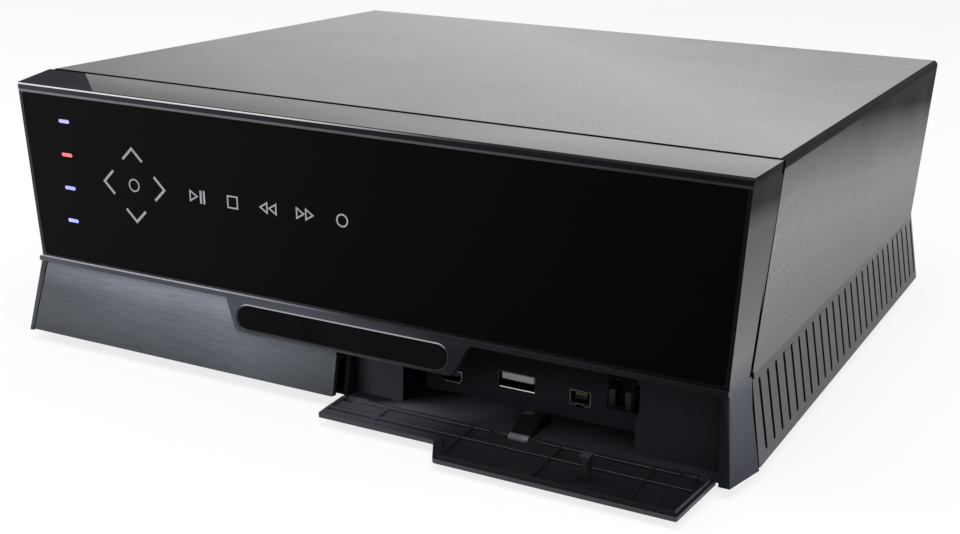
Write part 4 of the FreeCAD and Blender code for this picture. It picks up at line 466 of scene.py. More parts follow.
# Rim round the badge's seat: painted highlight along its upper edge.
BADGE_RIM_PAINTED_HIGHLIGHT = graded("badge_seat_rim_painted_highlight", [(0.0262, slate(0.02)), (0.0275, grey(0.36))],
             UPWARD, 0.25, 0.04, sway=0.02, specular=0.1)
SIGNS = grained("window_print", (0.29, 0.31, 0.325), (0.36, 0.38, 0.395), 0.5, 0.05, scale=6000.0,
                strength=0.05)
BLUE_LIGHT = glowing("status_light_blue", (0.3, 0.32, 0.95), 1.0)
RED_LIGHT = glowing("status_light_red", (0.95, 0.12, 0.12), 1.0)
PLATED = brushed("nickel_plate", (0.55, 0.54, 0.52), (0.75, 0.74, 0.71), 0.22, metal=1.0, fineness=2500.0)
BRIGHT = brushed("bright_socket_lip", (0.8, 0.79, 0.76), (0.95, 0.94, 0.9), 0.18, metal=1.0)
GOLD = brushed("gold_contact", (0.75, 0.5, 0.2), (0.9, 0.65, 0.3), 0.25, metal=1.0, fineness=3000.0)
ZINC = brushed("zinc_sheet", (0.42, 0.43, 0.44), (0.58, 0.59, 0.6), 0.36, metal=1.0, blotch=80.0)
STEEL = brushed("drive_steel", (0.55, 0.56, 0.57), (0.7, 0.71, 0.72), 0.28, metal=1.0, blotch=40.0)
CASTING = grained("drive_casting", (0.42, 0.43, 0.44), (0.52, 0.53, 0.54), 0.45, 0.06, scale=2200.0,
                  cloud=60.0, strength=0.3, distance=0.00008, metal=0.9)
SCREW = brushed("screw_plate", (0.4, 0.4, 0.42), (0.6, 0.6, 0.62), 0.3, metal=1.0, fineness=4000.0)
RUBBER = grained("foot_rubber", (0.018, 0.018, 0.018), (0.028, 0.028, 0.028), 0.8, 0.08, scale=1800.0,
                 strength=0.3, distance=0.0001)
PANEL = grained("rear_panel_paint", (0.02, 0.02, 0.022), (0.03, 0.03, 0.032), 0.45, 0.05, scale=4500.0,
                cloud=18.0, strength=0.2, dust=0.2)
SOCKET = grained("socket_plastic", (0.012, 0.012, 0.013), (0.02, 0.02, 0.021), 0.4, 0.06, scale=2600.0,
                 cloud=90.0, strength=0.1)
WHITE_PLASTIC = grained("socket_white_plastic", (0.62, 0.61, 0.58), (0.7, 0.69, 0.66), 0.4, 0.05,
                        scale=2600.0, strength=0.06)
YELLOW = grained("socket_yellow", (0.75, 0.5, 0.03), (0.85, 0.58, 0.05), 0.35, 0.05, scale=2600.0)
RED = grained("socket_red", (0.5, 0.02, 0.02), (0.6, 0.03, 0.03), 0.35, 0.05, scale=2600.0)
BOARD = grained("circuit_board_green", (0.012, 0.075, 0.035), (0.02, 0.11, 0.05), 0.35, 0.08,
                scale=900.0, cloud=160.0, strength=0.25, distance=0.0001)
CHIP = grained("chip_black", (0.018, 0.018, 0.018), (0.03, 0.03, 0.03), 0.5, 0.06, scale=2400.0)
SINK = brushed("heat_sink_extrusion", (0.5, 0.51, 0.52), (0.62, 0.63, 0.64), 0.35, metal=1.0)
SLEEVE = grained("capacitor_sleeve", (0.02, 0.02, 0.05), (0.03, 0.03, 0.07), 0.25, 0.04)
GUIDE = grained("light_guide_white", (0.55, 0.55, 0.53), (0.65, 0.65, 0.62), 0.5, 0.05)
NYLON = grained("runner_nylon", (0.45, 0.45, 0.41), (0.52, 0.52, 0.48), 0.45, 0.06, scale=1600.0)
FAN = grained("fan_plastic", (0.014, 0.014, 0.015), (0.022, 0.022, 0.023), 0.38, 0.06, scale=2000.0)
LABEL = grained("blank_label", (0.55, 0.56, 0.56), (0.6, 0.61, 0.61), 0.5, 0.04, scale=3000.0,
                strength=0.05)

FINISHES = {
    "top_cover": COVER, "cover_screws": SCREW, "base_pan": ZINC, "feet": RUBBER, "rear_panel": PANEL,
    "front_bezel": BEZEL, "touch_window": WINDOW_PAINTED_REFLECTION, "badge_plate": BADGE, "key_board": BOARD,
    "key_board_screws": SCREW, "light_guide": GUIDE, "indicator_lights": GUIDE,
    "remote_receiver": CHIP, "port_recess": RECESS_PAINTED_LIGHT_AND_SHADE, "mini_usb_socket": DULL_NICKEL,
    "usb_socket": DULL_NICKEL, "dv_socket": SOCKET, "front_io_board": BOARD,
    "catch_housing": CATCH_BLACK_AND_SHADE, "catch_plunger": JAW,
    "catch_spring": SCREW, "hinge_arm": ARM, "hinge_pins": ARM, "port_flap": FLAP_PAINTED_REFLECTION,
    "tray_fascia": FASCIA_PAINTED_HIGHLIGHT, "fascia_screws": SCREW, "drive_tray": ZINC, "tray_runners": NYLON,
    "drive_case": CASTING, "drive_lid": STEEL, "drive_board": BOARD, "drive_connector": SOCKET,
    "drive_screws": SCREW, "tray_rails": ZINC, "rail_screws": SCREW, "backplane_connector": SOCKET,
    "backplane_board": BOARD, "backplane_bracket": ZINC, "main_board": BOARD,
    "board_standoffs": PLATED, "board_screws": SCREW, "processor": CHIP, "heat_sink": SINK,
    "memory_chips": CHIP, "capacitors": SLEEVE, "power_jack": SOCKET, "hdmi_socket": PLATED,
    "optical_socket": SOCKET, "rear_usb_socket": PLATED, "lan_socket": PLATED,
    "av_socket_block": SOCKET, "tuner_can": ZINC, "antenna_socket": PLATED, "fan_frame": FAN,
    "fan_rotor": FAN, "fan_screws": SCREW}


def paint_nodes():
    for name, node in NODES.items():
        finish = FINISHES[name]
        if not node.material_slots:
            node.data.materials.append(finish)
        for slot in node.material_slots:
            slot.material = finish


# ---- making pieces -----------------------------------------------------------------------
WELD = 0.000002                        # metres; points nearer than this become one


def keep(bm, name, material, body, smooth=35.0):
    """Turn a finished bmesh into a piece that rides on a body."""
    bmesh.ops.recalc_face_normals(bm, faces=bm.faces)
    mesh = bpy.data.meshes.new(name)
    bm.to_mesh(mesh)
    bm.free()
    mesh.materials.append(material)
    for face in mesh.polygons:
        face.use_smooth = True
    mesh.set_sharp_from_angle(angle=math.radians(smooth))
    piece = bpy.data.objects.new(name, mesh)
    bpy.context.scene.collection.objects.link(piece)
    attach(piece, body)
    return piece


def soften(bm, edges, width, segments=3):
    bmesh.ops.bevel(bm, geom=edges, offset=width * MM, offset_type="OFFSET", segments=segments,
                    profile=0.5, affect="EDGES", clamp_overlap=True, loop_slide=True, material=-1)


def sharp_edges(bm, angle):
    return [e for e in bm.edges if len(e.link_faces) == 2
            and e.calc_face_angle(0.0) > math.radians(angle)]


def rounded_copy(node, width, segments=3, angle=28.0, body="case", pick=None, cuts=(), shape=None, first=(),
                 zones=()):
    """Copy of a node with its edges rounded, standing for that node; cuts part faces for the zones."""
    bm = bmesh.new()
    bm.from_mesh(NODES[node].data)
    bmesh.ops.remove_doubles(bm, verts=bm.verts, dist=WELD)
    bmesh.ops.dissolve_limit(bm, angle_limit=math.radians(0.5), verts=bm.verts, edges=bm.edges)
    for place, normal in cuts:
        bmesh.ops.bisect_plane(bm, geom=[*bm.verts, *bm.edges, *bm.faces], plane_co=at(*place),
                               plane_no=Vector(normal))
    if shape is not None:
        shape(bm)
    for wanted, wide in first:
        soften(bm, [e for e in sharp_edges(bm, angle) if wanted(e)], wide, 4)
    edges = sharp_edges(bm, angle)
    if pick is not None:
        edges = [e for e in edges if pick(e)]
    soften(bm, edges, width, segments)
    bm.normal_update()
    for index, (material, wanted) in enumerate(zones, start=1):
        for face in bm.faces:
            if face.material_index == 0 and wanted(face):
                face.material_index = index
    piece = keep(bm, node + "_finished", FINISHES[node], body)
    for material, wanted in zones:
        piece.data.materials.append(material)
    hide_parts(node)
    return piece


def plain(point):
    """A point of the frame in the places' millimetres."""
    return point / MM - SHIFT


def ends_of(edge):
    return [plain(v.co) for v in edge.verts]


def middle_of(face):
    return plain(face.calc_center_median())


def shut(point):
    """Where a point of the open flap is with the flap closed, seen from its foot."""
    return FLAP_SHUT @ (point - HINGE) + HINGE - FOOT


def slot_end(edge):
    """Short edges through the cover's sheet, at the corners of its side vents."""
    a, b = ends_of(edge)
    run = (b - a).normalized()
    return abs(run.x) > 0.9 and (a - b).length < 1.6 and a.z < 25.5


def no_edge(edge):
    return False


def top_front_edge(edge):
    return all(abs(p.y) < 0.05 and abs(p.z - TOP.z) < 0.05 for p in ends_of(edge))


def sink_seam(bm):
    """Lower the bezel's top along the joint, so that the cover's front edge shows over it."""
    for v in bm.verts:
        p = plain(v.co)
        if p.z > CASE_TOP - 0.3 and on_seam(p):
            v.co.z -= 0.4 * MM


def seam_edge(edge):
    """Rear edges of the bezel's skin, along the joint with the cover."""
    return all(on_seam(p) and on_skin(p) for p in ends_of(edge))


def waisted(z, foot, waist, top):
    """Value at a height, straight from the foot to the waist and from there to the top."""
    if z > WAIST.z:
        return waist + (z - WAIST.z) / (CASE_TOP - WAIST.z) * (top - waist)
    return foot + z / WAIST.z * (waist - foot)


def seam_y(z):
    return waisted(z, JOINT_FOOT_Y, JOINT_WAIST_Y, JOINT_TOP_Y)


def on_seam(p):
    return abs(p.y - seam_y(p.z)) < 0.08


def on_skin(p):
    half = waisted(p.z, SKIN_FOOT_HALF, SKIN_WAIST_HALF, SKIN_TOP_HALF)
    return p.z > CASE_TOP - 0.6 or abs(abs(p.x) - half) < 0.4


def seam_face(face):
    place = middle_of(face)
    reach = 1.5 if place.z > CASE_TOP - 0.8 else 0.8
    return seam_y(place.z) - reach < place.y < seam_y(place.z) + 0.1


def fold_face(face):
    place = middle_of(face)
    return place.z > FOLD_Z and abs(place.x) > 127.5 and face.normal.z < LID_LEVEL


def side_face(face):
    place = middle_of(face)
    return face.normal.x * math.copysign(1.0, place.x) > 0.8 and abs(place.x) > 123.5


def skirt_face(face):
    return side_face(face) and middle_of(face).z < WAIST.z


def lid_face(face):
    return face.normal.z > LID_LEVEL and middle_of(face).z > 88.0


def pan_inner_face(face):
    return face.normal.z > -0.5


def inner_face(face):
    """Whatever is not the outer skin of the cover."""
    place = middle_of(face)
    return place.y < 229.5 or place.z < 75.0


def flap_outer_rim(face):
    """Outermost faces round the flap's outline."""
    place = middle_of(face)
    reach = 24.7 if place.x > FLAP_STEP else 14.3
    return shut(place).dot(PANEL_UP) > reach or not FLAP_LEFT <= place.x <= FLAP_RIGHT


def flap_face(face):
    """Outer side of the flap."""
    return (FLAP_SHUT @ face.normal).dot(PANEL_IN) < -0.9


def knuckle_face(face):
    place = middle_of(face)
    return math.hypot(place.y - HINGE.y, place.z - HINGE.z) < 2.0 and abs(face.normal.x) < 0.5


def flap_line_face(face):
    """Rounded edges of the flap's ribs that look up and away from the hinge."""
    normal = FLAP_SHUT @ face.normal
    place = middle_of(face)
    closed = shut(place)
    free_edge = 22.6 if place.x > FLAP_STEP else 12.4
    return (abs(normal.x) < 0.3 and 0.2 < normal.dot(PANEL_IN) < 0.97 and normal.dot(PANEL_UP) > 0.2
            and 2.0 < closed.dot(PANEL_IN) < 3.0 and 2.2 < closed.dot(PANEL_UP) < free_edge)


def hook_top_face(face):
    """Upper faces of the striker, at its end."""
    return shut(middle_of(face)).dot(PANEL_IN) > 7.5 and face.normal.z > 0.3


def recess_back_face(face):
    return face.normal.y < -0.8 and middle_of(face).y > 15.0


def recess_floor_face(face):
    place = middle_of(face)
    return face.normal.z > 0.8 and place.z < 3.0 and place.y > 1.0 and place.x < 97.0


def recess_corner_face(face):
    """Side of the corner where the left wall steps back, painted as shade."""
    return face.normal.x > 0.8 and abs(middle_of(face).x - 19.7) < 0.4


def ledge_end_face(face):
    place = middle_of(face)
    return ledge_face(face) and place.x - LEDGE_SLANT * (place.y - LEDGE_END_Y) < LEDGE_END_X


def window_line_face(face):
    """Strip of the bezel along the top edge of the window."""
    place = middle_of(face)
    up = (place - WAIST).dot(WINDOW_UP)
    return face.normal.dot(WINDOW_IN) < -0.5 and LINE_HIGH - 0.1 < WINDOW_SLOPE - up < LINE_LOW + 0.2


def front_face(face):
    place = middle_of(face)
    return face.normal.dot(WINDOW_IN) < -0.9 and abs((place - WAIST).dot(WINDOW_IN)) < 0.3


def foot_strip_face(face):
    """Narrow front of the bezel's left side, beside the tray's front."""
    place = middle_of(face)
    return place.x < -124.0 and place.z < 26.0 and face.normal.y < -0.8


def bead_top_face(face):
    """Upper rounding of the bead under the window."""
    return bead_face(face) and face.normal.z > 0.8


def fascia_top_face(face):
    return face.normal.z > 0.4 and face.normal.y < -0.1


def ledge_face(face):
    place = middle_of(face)
    return face.normal.z > 0.9 and place.z > 85.0 and place.y < 19.5


def top_edge_face(face):
    place = middle_of(face)
    return abs(place.y) < 0.7 and abs(place.z - TOP.z) < 0.7 and face.normal.z < 0.75


def top_shade_face(face):
    """Upper part of the rounded top front edge."""
    place = middle_of(face)
    return abs(place.y) < 0.7 and abs(place.z - TOP.z) < 0.7


def window_lip_face(face):
    """Rounding between the bezel's front and the opening for the window."""
    place = middle_of(face)
    depth = (place - WAIST).dot(WINDOW_IN)
    up = (place - WAIST).dot(WINDOW_UP)
    turned = abs(face.normal.dot(WINDOW_IN))
    return abs(depth - 0.1) < 0.35 and 0.15 < turned < 0.97 and up > 0.5 and up < 58.5


def bead_face(face):
    place = middle_of(face)
    return place.y < 3.4 and place.z < 27.8 and place.z > 14.0


def fascia_end_face(face):
    return abs(face.normal.x) > 0.7


def thicken(bm, faces, push):
    raised = bmesh.ops.extrude_face_region(bm, geom=faces)["geom"]
    bmesh.ops.translate(bm, verts=[v for v in raised if isinstance(v, bmesh.types.BMVert)], vec=push)


def add_plate(bm, outline, push):
    """Flat shape through the given points, made as thick as push."""
    face = bm.faces.new([bm.verts.new(p) for p in outline])
    face.normal_update()
    thicken(bm, [face], push)


def add_outline(bm, outline, stroke, push):
    """Closed line of a given stroke along the inside of the outline."""
    face = bm.faces.new([bm.verts.new(p) for p in outline])
    face.normal_update()
    ring = bmesh.ops.inset_region(bm, faces=[face], thickness=stroke * MM, use_even_offset=True,
                                  use_boundary=True)["faces"]
    bmesh.ops.delete(bm, geom=[face], context="FACES_ONLY")
    double = bmesh.ops.duplicate(bm, geom=ring)["geom"]
    thicken(bm, [part for part in double if isinstance(part, bmesh.types.BMFace)], push)
    bmesh.ops.remove_doubles(bm, verts=bm.verts, dist=0.000001)


def oval(cx, cy, wide, high, steps=24):
    """Points of a slot with round ends, wide and high across, about a centre."""
    end = high / 2
    reach = wide / 2 - end
    points = []
    for side, start in ((1, -90), (-1, 90)):
        for i in range(steps // 2 + 1):
            a = math.radians(start + 180.0 * i / (steps // 2))
            points.append((cx + side * reach + end * math.cos(a), cy + end * math.sin(a)))
    return points


def block(name, low, high, material, body, width=0.15, segments=2):
    """Rounded block between two corners, in millimetres."""
    bm = bmesh.new()
    a, b = at(*low), at(*high)
    bmesh.ops.create_cube(bm, size=1.0)
    bmesh.ops.scale(bm, verts=bm.verts, vec=b - a)
    bmesh.ops.translate(bm, verts=bm.verts, vec=(a + b) / 2)
    soften(bm, bm.edges[:], width, segments)
    return keep(bm, name, material, body)


# ---- signs on the window -----------------------------------------------------------------
PRINT_FRONT = 0.16                     # how far the window stands back from the bezel's front
PRINT_PUSH = WINDOW_IN * 0.05 * MM
PRINT_STROKE = 0.5
ARROWS_X, ARROWS_REACH = -80.6, 13.07
SIGN_ROW_X, SIGN_STEP = -54.6, 13.66
LIGHTS_X = -108.6


def window_outline(points):
    return [on_window(x, s, PRINT_FRONT) for x, s in points]


def add_chevron(bm, cx, cs, turn):
    """Open arrow head, turned about the middle of the four."""
    half, rise, stroke = 4.3, 4.3, 0.85
    length = math.hypot(half, rise)
    nx, ny = rise / length * stroke, half / length * stroke
    low = ARROWS_REACH - rise
    shape = [(0, ARROWS_REACH), (-half, low), (-half + nx, low - ny),
             (0, ARROWS_REACH - stroke * length / half), (half - nx, low - ny), (half, low)]
    c, s = math.cos(turn), math.sin(turn)
    add_plate(bm, window_outline([(cx + a * c - b * s, cs + a * s + b * c) for a, b in shape]), PRINT_PUSH)


def make_signs():
    bm = bmesh.new()
    middle = 0.5 * WINDOW_SLOPE

    def line(points):
        add_outline(bm, window_outline(points), PRINT_STROKE, PRINT_PUSH)

    for i in range(4):
        add_chevron(bm, ARROWS_X, middle + 0.4, math.radians(90 * i))
    line(oval(ARROWS_X, middle + 0.45, 4.5, 4.5, 32))
    middle += 0.2
    play, stop, back, skip, record = (SIGN_ROW_X + SIGN_STEP * k for k in range(5))
    line([(play - 3.3, middle - 2.1), (play + 0.2, middle), (play - 3.3, middle + 2.1)])
    for left in (play + 0.8, play + 2.1):
        add_plate(bm, window_outline([(left, middle - 2.2), (left + 0.75, middle - 2.2),
                                      (left + 0.75, middle + 2.2), (left, middle + 2.2)]), PRINT_PUSH)
    line([(stop - 2.1, middle - 2.15), (stop + 2.1, middle - 2.15),
          (stop + 2.1, middle + 2.15), (stop - 2.1, middle + 2.15)])
    for x, side in ((back, -1), (skip, 1)):
        for tip in (x + side * 0.1, x + side * 3.5):
            tail = tip - side * 3.3
            line([(tail, middle - 2.1), (tip, middle), (tail, middle + 2.1)])
    line(oval(record, middle, 4.3, 4.3, 32))
    keep(bm, "window_signs", SIGNS, "case")


def make_status_lights():
    for i, material in enumerate((BLUE_LIGHT, RED_LIGHT, BLUE_LIGHT, BLUE_LIGHT)):
        bm = bmesh.new()
        s = (0.81 - 0.19 * i) * WINDOW_SLOPE
        add_plate(bm, window_outline(oval(LIGHTS_X, s, 4.5, 1.2, 24)), PRINT_PUSH)
        keep(bm, "status_light_%d" % i, material, "case")


# ---- badge -------------------------------------------------------------------------------
def make_badge_rim():
    """Thin bead round the oval seat of the bare badge, with a painted highlight along its upper edge."""
    bm = bmesh.new()
    margin, high = 1.6, 10.4
    middle = PANEL_SLOPE - margin - high / 2 - 0.3
    outline = [on_panel(x, s, -1.22) for x, s in oval(-1.0, middle, 78.1, 8.7, 32)]
    add_outline(bm, outline, 0.42, PANEL_IN * 0.2 * MM)
    keep(bm, "badge_rim", BADGE_RIM_PAINTED_HIGHLIGHT, "case")


# ---- front sockets -----------------------------------------------------------------------
RECESS_WALL = 20.4                     # y of the wall that the sockets open through
TYPE_A, MINI, FOUR_PIN = (51.6, 9.0), (28.7, 6.4), (73.0, 7.9)


def add_bits(material, boxes, width=0.15):
    """Small rounded blocks of one finish; each box is a name with its two corners."""
    for name, low, high in boxes:
        block(name, low, high, material, "case", width)


def make_lip(name, middle, points, material):
    """Thin rim of a socket, along the inside of an outline about its middle."""
    bm = bmesh.new()
    add_outline(bm, [at(middle[0] + a, RECESS_WALL - 0.05, middle[1] + b) for a, b in points], 0.35,
                Vector((0, 0.4 * MM, 0)))
    keep(bm, name, material, "case")


def make_socket_details():
    front = RECESS_WALL
    x, z = TYPE_A
    add_bits(WHITE_PLASTIC,
             [("usb_tongue", (x - 5.5, front + 0.9, z - 0.1), (x + 5.5, front + 12.0, z + 2.0))], 0.1)
    lefts = [x - 4.0 + i * 2.33 for i in range(4)]
    add_bits(GOLD,
             [("usb_contact_%d" % i, (left, front + 1.2, z - 0.22), (left + 1.0, front + 10.0, z - 0.08))
              for i, left in enumerate(lefts)], 0.03)
    add_bits(BRIGHT,
             [("usb_lip", (x - 5.9, front - 0.1, z - 2.9), (x + 6.3, front + 0.5, z - 2.25))])
    x, z = MINI
    make_lip("mini_usb_lip", MINI,
             ((-3.0, -2.0), (3.0, -2.0), (3.9, -0.9), (3.9, 2.0), (-3.9, 2.0), (-3.9, -0.9)), BRIGHT)
    add_bits(SOCKET,
             [("mini_usb_insert", (x - 3.3, front + 0.5, z - 0.3), (x + 3.3, front + 7.0, z + 1.1))], 0.1)
    x, z = FOUR_PIN
    make_lip("dv_lip", FOUR_PIN,
             ((-3.5, -2.55), (-1.5, -2.55), (-1.0, -1.9), (1.0, -1.9), (1.5, -2.55), (3.5, -2.55),
              (3.5, 2.55), (-3.5, 2.55)), SOCKET_RIM)
    lefts = [x - 1.75 + i for i in range(4)]
    add_bits(GOLD,
             [("dv_contact_%d" % i, (left, front + 0.9, z + 1.0), (left + 0.5, front + 5.0, z + 1.25))
              for i, left in enumerate(lefts)], 0.03)


# ---- flap details ------------------------------------------------------------------------
def make_flap_marks():
    """Shallow rings left by the mould's ejector pins on the inner face of the flap."""
    bm = bmesh.new()
    for x, s in ((29.0, 5.6), (29.0, 12.6), (55.0, 5.8), (72.0, 18.6), (88.0, 6.0), (108.0, 6.2),
                 (110.0, 18.4), (16.0, 12.0)):
        add_outline(bm, [on_flap(a, b, 1.42) for a, b in oval(x, s, 3.4, 3.4, 24)], 0.22,
                    (FLAP_OPEN @ PANEL_IN) * -0.04 * MM)
    keep(bm, "flap_ejector_rings", FLAP_PAINTED_REFLECTION, "flap")


# ---- rear sockets ------------------------------------------------------------------------
def tube(name, x, z, y0, y1, outer, inner, material, body, steps=40):
    """Round collar along Y, spun from its wall's section."""
    bm = bmesh.new()
    corners = [at(x + inner, y0, z), at(x + outer, y0, z), at(x + outer, y1, z), at(x + inner, y1, z)]
    face = bmesh.ops.contextual_create(bm, geom=[bm.verts.new(p) for p in corners])["faces"][0]
    bmesh.ops.spin(bm, geom=[face, *face.edges, *face.verts], cent=at(x, y0, z), axis=Vector((0, 1, 0)),
                   angle=math.tau, steps=steps, use_merge=True, use_duplicate=False)
    bmesh.ops.remove_doubles(bm, verts=bm.verts, dist=WELD)
    seam = [f for f in bm.faces if abs(f.normal.y) < 0.01 and all(
        abs(v.co.z - at(x, y0, z).z) < 0.000001 and v.co.x > at(x, y0, z).x for v in f.verts)]
    bmesh.ops.delete(bm, geom=seam, context="FACES_ONLY")
    return keep(bm, name, material, body)


NETWORK_MIDDLE, PHONO_FIRST = 19.6, 38.6
PHONO_STEP, PHONO_Z = 10.7, 15.1


def make_rear_details():
    for i, material in enumerate((YELLOW, WHITE_PLASTIC, RED)):
        x = PHONO_FIRST + i * PHONO_STEP
        piece = tube("phono_ring_%d" % i, x, PHONO_Z, 228.9, 236.0, 4.75, 4.1, material, "case")
        piece = tube("phono_lining_%d" % i, x, PHONO_Z, 228.0, 237.02, 4.0, 1.62, PLATED, "case")
    lefts = [NETWORK_MIDDLE - 3.77 + i * 1.02 for i in range(8)]
    add_bits(GOLD,
             [("network_contact_%d" % i, (left, 219.0, 18.6), (left + 0.4, 227.5, 18.9))
              for i, left in enumerate(lefts)], 0.05)


# ---- hard drive --------------------------------------------------------------------------
def make_drive_details():
    """Blank label and the small screws of the drive's lid, all on the tray."""
    low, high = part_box("drive_lid")
    bm = bmesh.new()
    x0, x1 = low.x + 0.006, high.x - 0.006
    y0, y1 = low.y + 0.070, high.y - 0.006
    z = high.z - 0.0004
    corners = [bm.verts.new(p) for p in ((x0, y0, z), (x1, y0, z), (x1, y1, z), (x0, y1, z))]
    face = bmesh.ops.contextual_create(bm, geom=corners)["faces"][0]
    thicken(bm, [face], Vector((0, 0, 0.0001)))
    soften(bm, [e for e in bm.edges if abs(e.verts[0].co.z - e.verts[1].co.z) > 0.00005], 2.0, 4)
    keep(bm, "drive_label", LABEL, "tray")
    base = low.z + 0.0005
    inset, thick = 0.003, 0.0003
    bm = bmesh.new()
    for x in (low.x + inset, high.x - inset):
        for y in (low.y + inset, (low.y + high.y) / 2, high.y - inset):
            bmesh.ops.create_cone(bm, cap_ends=True, segments=20, radius1=0.0019, radius2=0.0016,
                                  depth=thick, matrix=Matrix.Translation((x, y, base + thick / 2)))
    keep(bm, "drive_lid_screws", SCREW, "tray")


# ---- studio ------------------------------------------------------------------------------
def make_floor():
    bm = bmesh.new()
    bmesh.ops.create_grid(bm, x_segments=1, y_segments=1, size=4.0)
    mesh = bpy.data.meshes.new("studio_floor")
    bm.to_mesh(mesh)
    bm.free()
    made = bpy.data.materials.new("studio_white")
    made.use_nodes = True
    tree = made.node_tree
    shader = tree.nodes["Principled BSDF"]
    shader.inputs["Base Color"].default_value = (0.86, 0.86, 0.86, 1.0)
    shader.inputs["Roughness"].default_value = 0.9
    shader.inputs["Specular IOR Level"].default_value = 0.0
    glow = tree.nodes.new("ShaderNodeEmission")
    glow.inputs["Strength"].default_value = 1.0
    ray = tree.nodes.new("ShaderNodeLightPath")
    mix = tree.nodes.new("ShaderNodeMixShader")
    link(tree, maths(tree, "MULTIPLY", ray.outputs["Is Camera Ray"], 0.8), mix.inputs["Fac"])
    link(tree, shader.outputs["BSDF"], mix.inputs[1])
    link(tree, glow.outputs["Emission"], mix.inputs[2])
    link(tree, mix.outputs["Shader"], tree.nodes["Material Output"].inputs["Surface"])
    mesh.materials.append(made)
    floor = bpy.data.objects.new("studio_floor", mesh)
    bpy.context.scene.collection.objects.link(floor)


def make_world():
    world = bpy.data.worlds.new("studio_world")
    world.use_nodes = True
    tree = world.node_tree
    soft = tree.nodes["Background"]
    soft.inputs["Color"].default_value = (0.93, 0.96, 1.0, 1.0)
    soft.inputs["Strength"].default_value = 0.55
    white = tree.nodes.new("ShaderNodeBackground")
    white.inputs["Color"].default_value = (1.0, 1.0, 1.0, 1.0)
    white.inputs["Strength"].default_value = 1.0
    ray = tree.nodes.new("ShaderNodeLightPath").outputs
    seen = maths(tree, "MAXIMUM", ray["Is Camera Ray"], ray["Is Glossy Ray"])
    mix = tree.nodes.new("ShaderNodeMixShader")
    link(tree, maths(tree, "MAXIMUM", seen, ray["Is Transmission Ray"]), mix.inputs["Fac"])
    link(tree, soft.outputs["Background"], mix.inputs[1])
    link(tree, white.outputs["Background"], mix.inputs[2])
    link(tree, mix.outputs["Shader"], tree.nodes["World Output"].inputs["Surface"])
    bpy.context.scene.world = world


def softbox(name, place, size, energy):
    """Rectangular lamp that looks at the middle of the case."""
    lamp = bpy.data.lights.new(name, "AREA")
    lamp.shape = "RECTANGLE"
    lamp.size, lamp.size_y = size
    lamp.energy = energy
    box = bpy.data.objects.new(name, lamp)
    bpy.context.scene.collection.objects.link(box)
    box.location = place
    box.rotation_euler = (Vector((0.0, 0.0, 0.05)) - Vector(place)).to_track_quat("-Z", "Y").to_euler()


def make_camera():
    stand = at(231.74, -357.60, 172.25)
    turn, rise, roll = math.radians(27.15), math.radians(16.82), math.radians(1.41)
    ahead = Vector((-math.sin(turn) * math.cos(rise), math.cos(turn) * math.cos(rise), -math.sin(rise)))
    right = Vector((math.cos(turn), math.sin(turn), 0.0))
    up = right.cross(ahead)
    tilted_right = right * math.cos(roll) + up * math.sin(roll)
    tilted_up = up * math.cos(roll) - right * math.sin(roll)
    lens = bpy.data.cameras.new("studio_camera")
    lens.sensor_width = 36.0
    lens.lens = 54.44
    lens.clip_start = 0.01
    camera = bpy.data.objects.new("studio_camera", lens)
    bpy.context.scene.collection.objects.link(camera)
    facing = Matrix((tilted_right, tilted_up, -ahead)).transposed().to_4x4()
    camera.matrix_world = Matrix.Translation(stand) @ facing
    bpy.context.scene.camera = camera


# ---- assembly ----------------------------------------------------------------------------
paint_nodes()
# Bezel zones: painted highlights along the top front edge, bead and window edge; painted shade on the edge
# and seam; painted reflections on the ledge, sides, bead and front.
rounded_copy("front_bezel", 0.4,
             cuts=(((0.0, JOINT_TOP_Y - 1.5, CASE_TOP), (0.0, 1.0, -0.037)),
                   ((LEDGE_END_X, LEDGE_END_Y, 88.0), Vector((1.0, -LEDGE_SLANT, 0.0)).normalized()),
                   (WAIST + WINDOW_UP * (WINDOW_SLOPE - LINE_LOW), WINDOW_UP),
                   (WAIST + WINDOW_UP * (WINDOW_SLOPE - LINE_HIGH), WINDOW_UP)),
             shape=sink_seam, first=((top_front_edge, 0.6), (seam_edge, 0.75)),
             zones=((EDGE_PAINTED_HIGHLIGHT, top_edge_face), (TOP_SHADE, top_shade_face), (SEAM, seam_face),
                    (LEDGE_END_PAINTED_REFLECTION, ledge_end_face), (LEDGE_PAINTED_REFLECTION, ledge_face), (CHEEK_PAINTED_REFLECTION, side_face),
                    (WINDOW_EDGE_PAINTED_HIGHLIGHT, window_line_face), (WINDOW_EDGE_PAINTED_HIGHLIGHT, window_lip_face),
                    (BEAD_PAINTED_HIGHLIGHT, bead_top_face), (BEAD_PAINTED_REFLECTION, bead_face), (FOOT_STRIP, foot_strip_face),
                    (BAND_PAINTED_REFLECTION, front_face)))
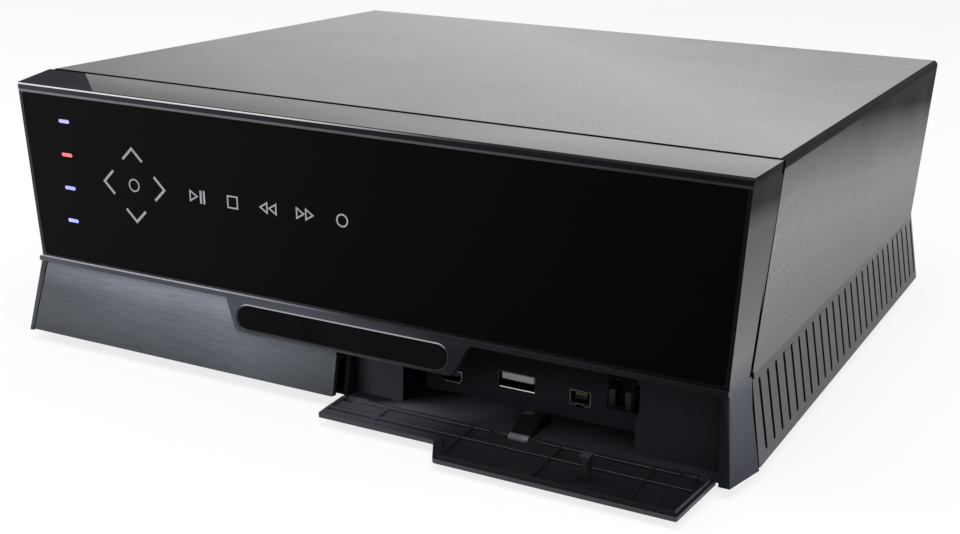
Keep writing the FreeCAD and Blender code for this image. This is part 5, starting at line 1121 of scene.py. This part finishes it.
# Cover zones: painted shade on the folds and skirt, painted reflection on the sides and lid, near-black
# painted shade inside.
rounded_copy("top_cover", 0.85, pick=slot_end, cuts=(((0.0, 0.0, FOLD_Z), UPWARD),),
             zones=((COVER_FOLD_PAINTED_SHADE, fold_face), (COVER_SKIRT_PAINTED_SHADE, skirt_face), (COVER_SIDE_PAINTED_REFLECTION, side_face),
                    (LID_PAINTED_REFLECTION, lid_face), (INSIDE_PAINTED_SHADE, inner_face)))
# Inner faces of the base pan: near-black painted shade.
rounded_copy("base_pan", 0.1, pick=no_edge, zones=((INSIDE_PAINTED_SHADE, pan_inner_face),))
# Flap zones: painted highlights on the rim, rib edges and striker.
rounded_copy("port_flap", 0.25, 2, body="flap",
             zones=((FLAP_FACE, flap_face), (FLAP_RIM_PAINTED_HIGHLIGHT, flap_outer_rim), (FLAP_GLINT, flap_line_face),
                    (HOOK_TOP_PAINTED_HIGHLIGHT, hook_top_face)))
# Recess zones: painted shade on the back wall and stepped corner, painted light on the floor.
rounded_copy("port_recess", 0.25, 2,
             zones=((RECESS_BACK_PAINTED_SHADE, recess_back_face), (RECESS_FLOOR_PAINTED_LIGHT, recess_floor_face),
                    (CATCH_BLACK_AND_SHADE, recess_corner_face)))
# Painted highlight on the arm's knuckle.
rounded_copy("hinge_arm", 0.4, zones=((KNUCKLE_PAINTED_HIGHLIGHT, knuckle_face),))
# Fascia zones: painted shade on the ends, painted highlight on the top.
rounded_copy("tray_fascia", 0.4, body="tray", zones=((FASCIA_END_PAINTED_SHADE, fascia_end_face),
                                                     (FASCIA_TOP_PAINTED_HIGHLIGHT, fascia_top_face)))
rounded_copy("catch_plunger", 0.2, 2, body="catch")
rounded_copy("feet", 0.8)
make_signs()
make_status_lights()
make_badge_rim()
make_socket_details()
make_flap_marks()
make_rear_details()
make_drive_details()
make_floor()
make_world()
softbox("key_softbox", (0.2, -0.5, 1.4), (1.2, 0.9), 14.0)
softbox("left_softbox", (-1.2, -0.4, 0.7), (0.8, 0.8), 6.0)
softbox("right_softbox", (1.4, 0.2, 0.6), (0.8, 0.8), 5.0)
make_camera()
bpy.context.scene.view_settings.view_transform = "Standard"
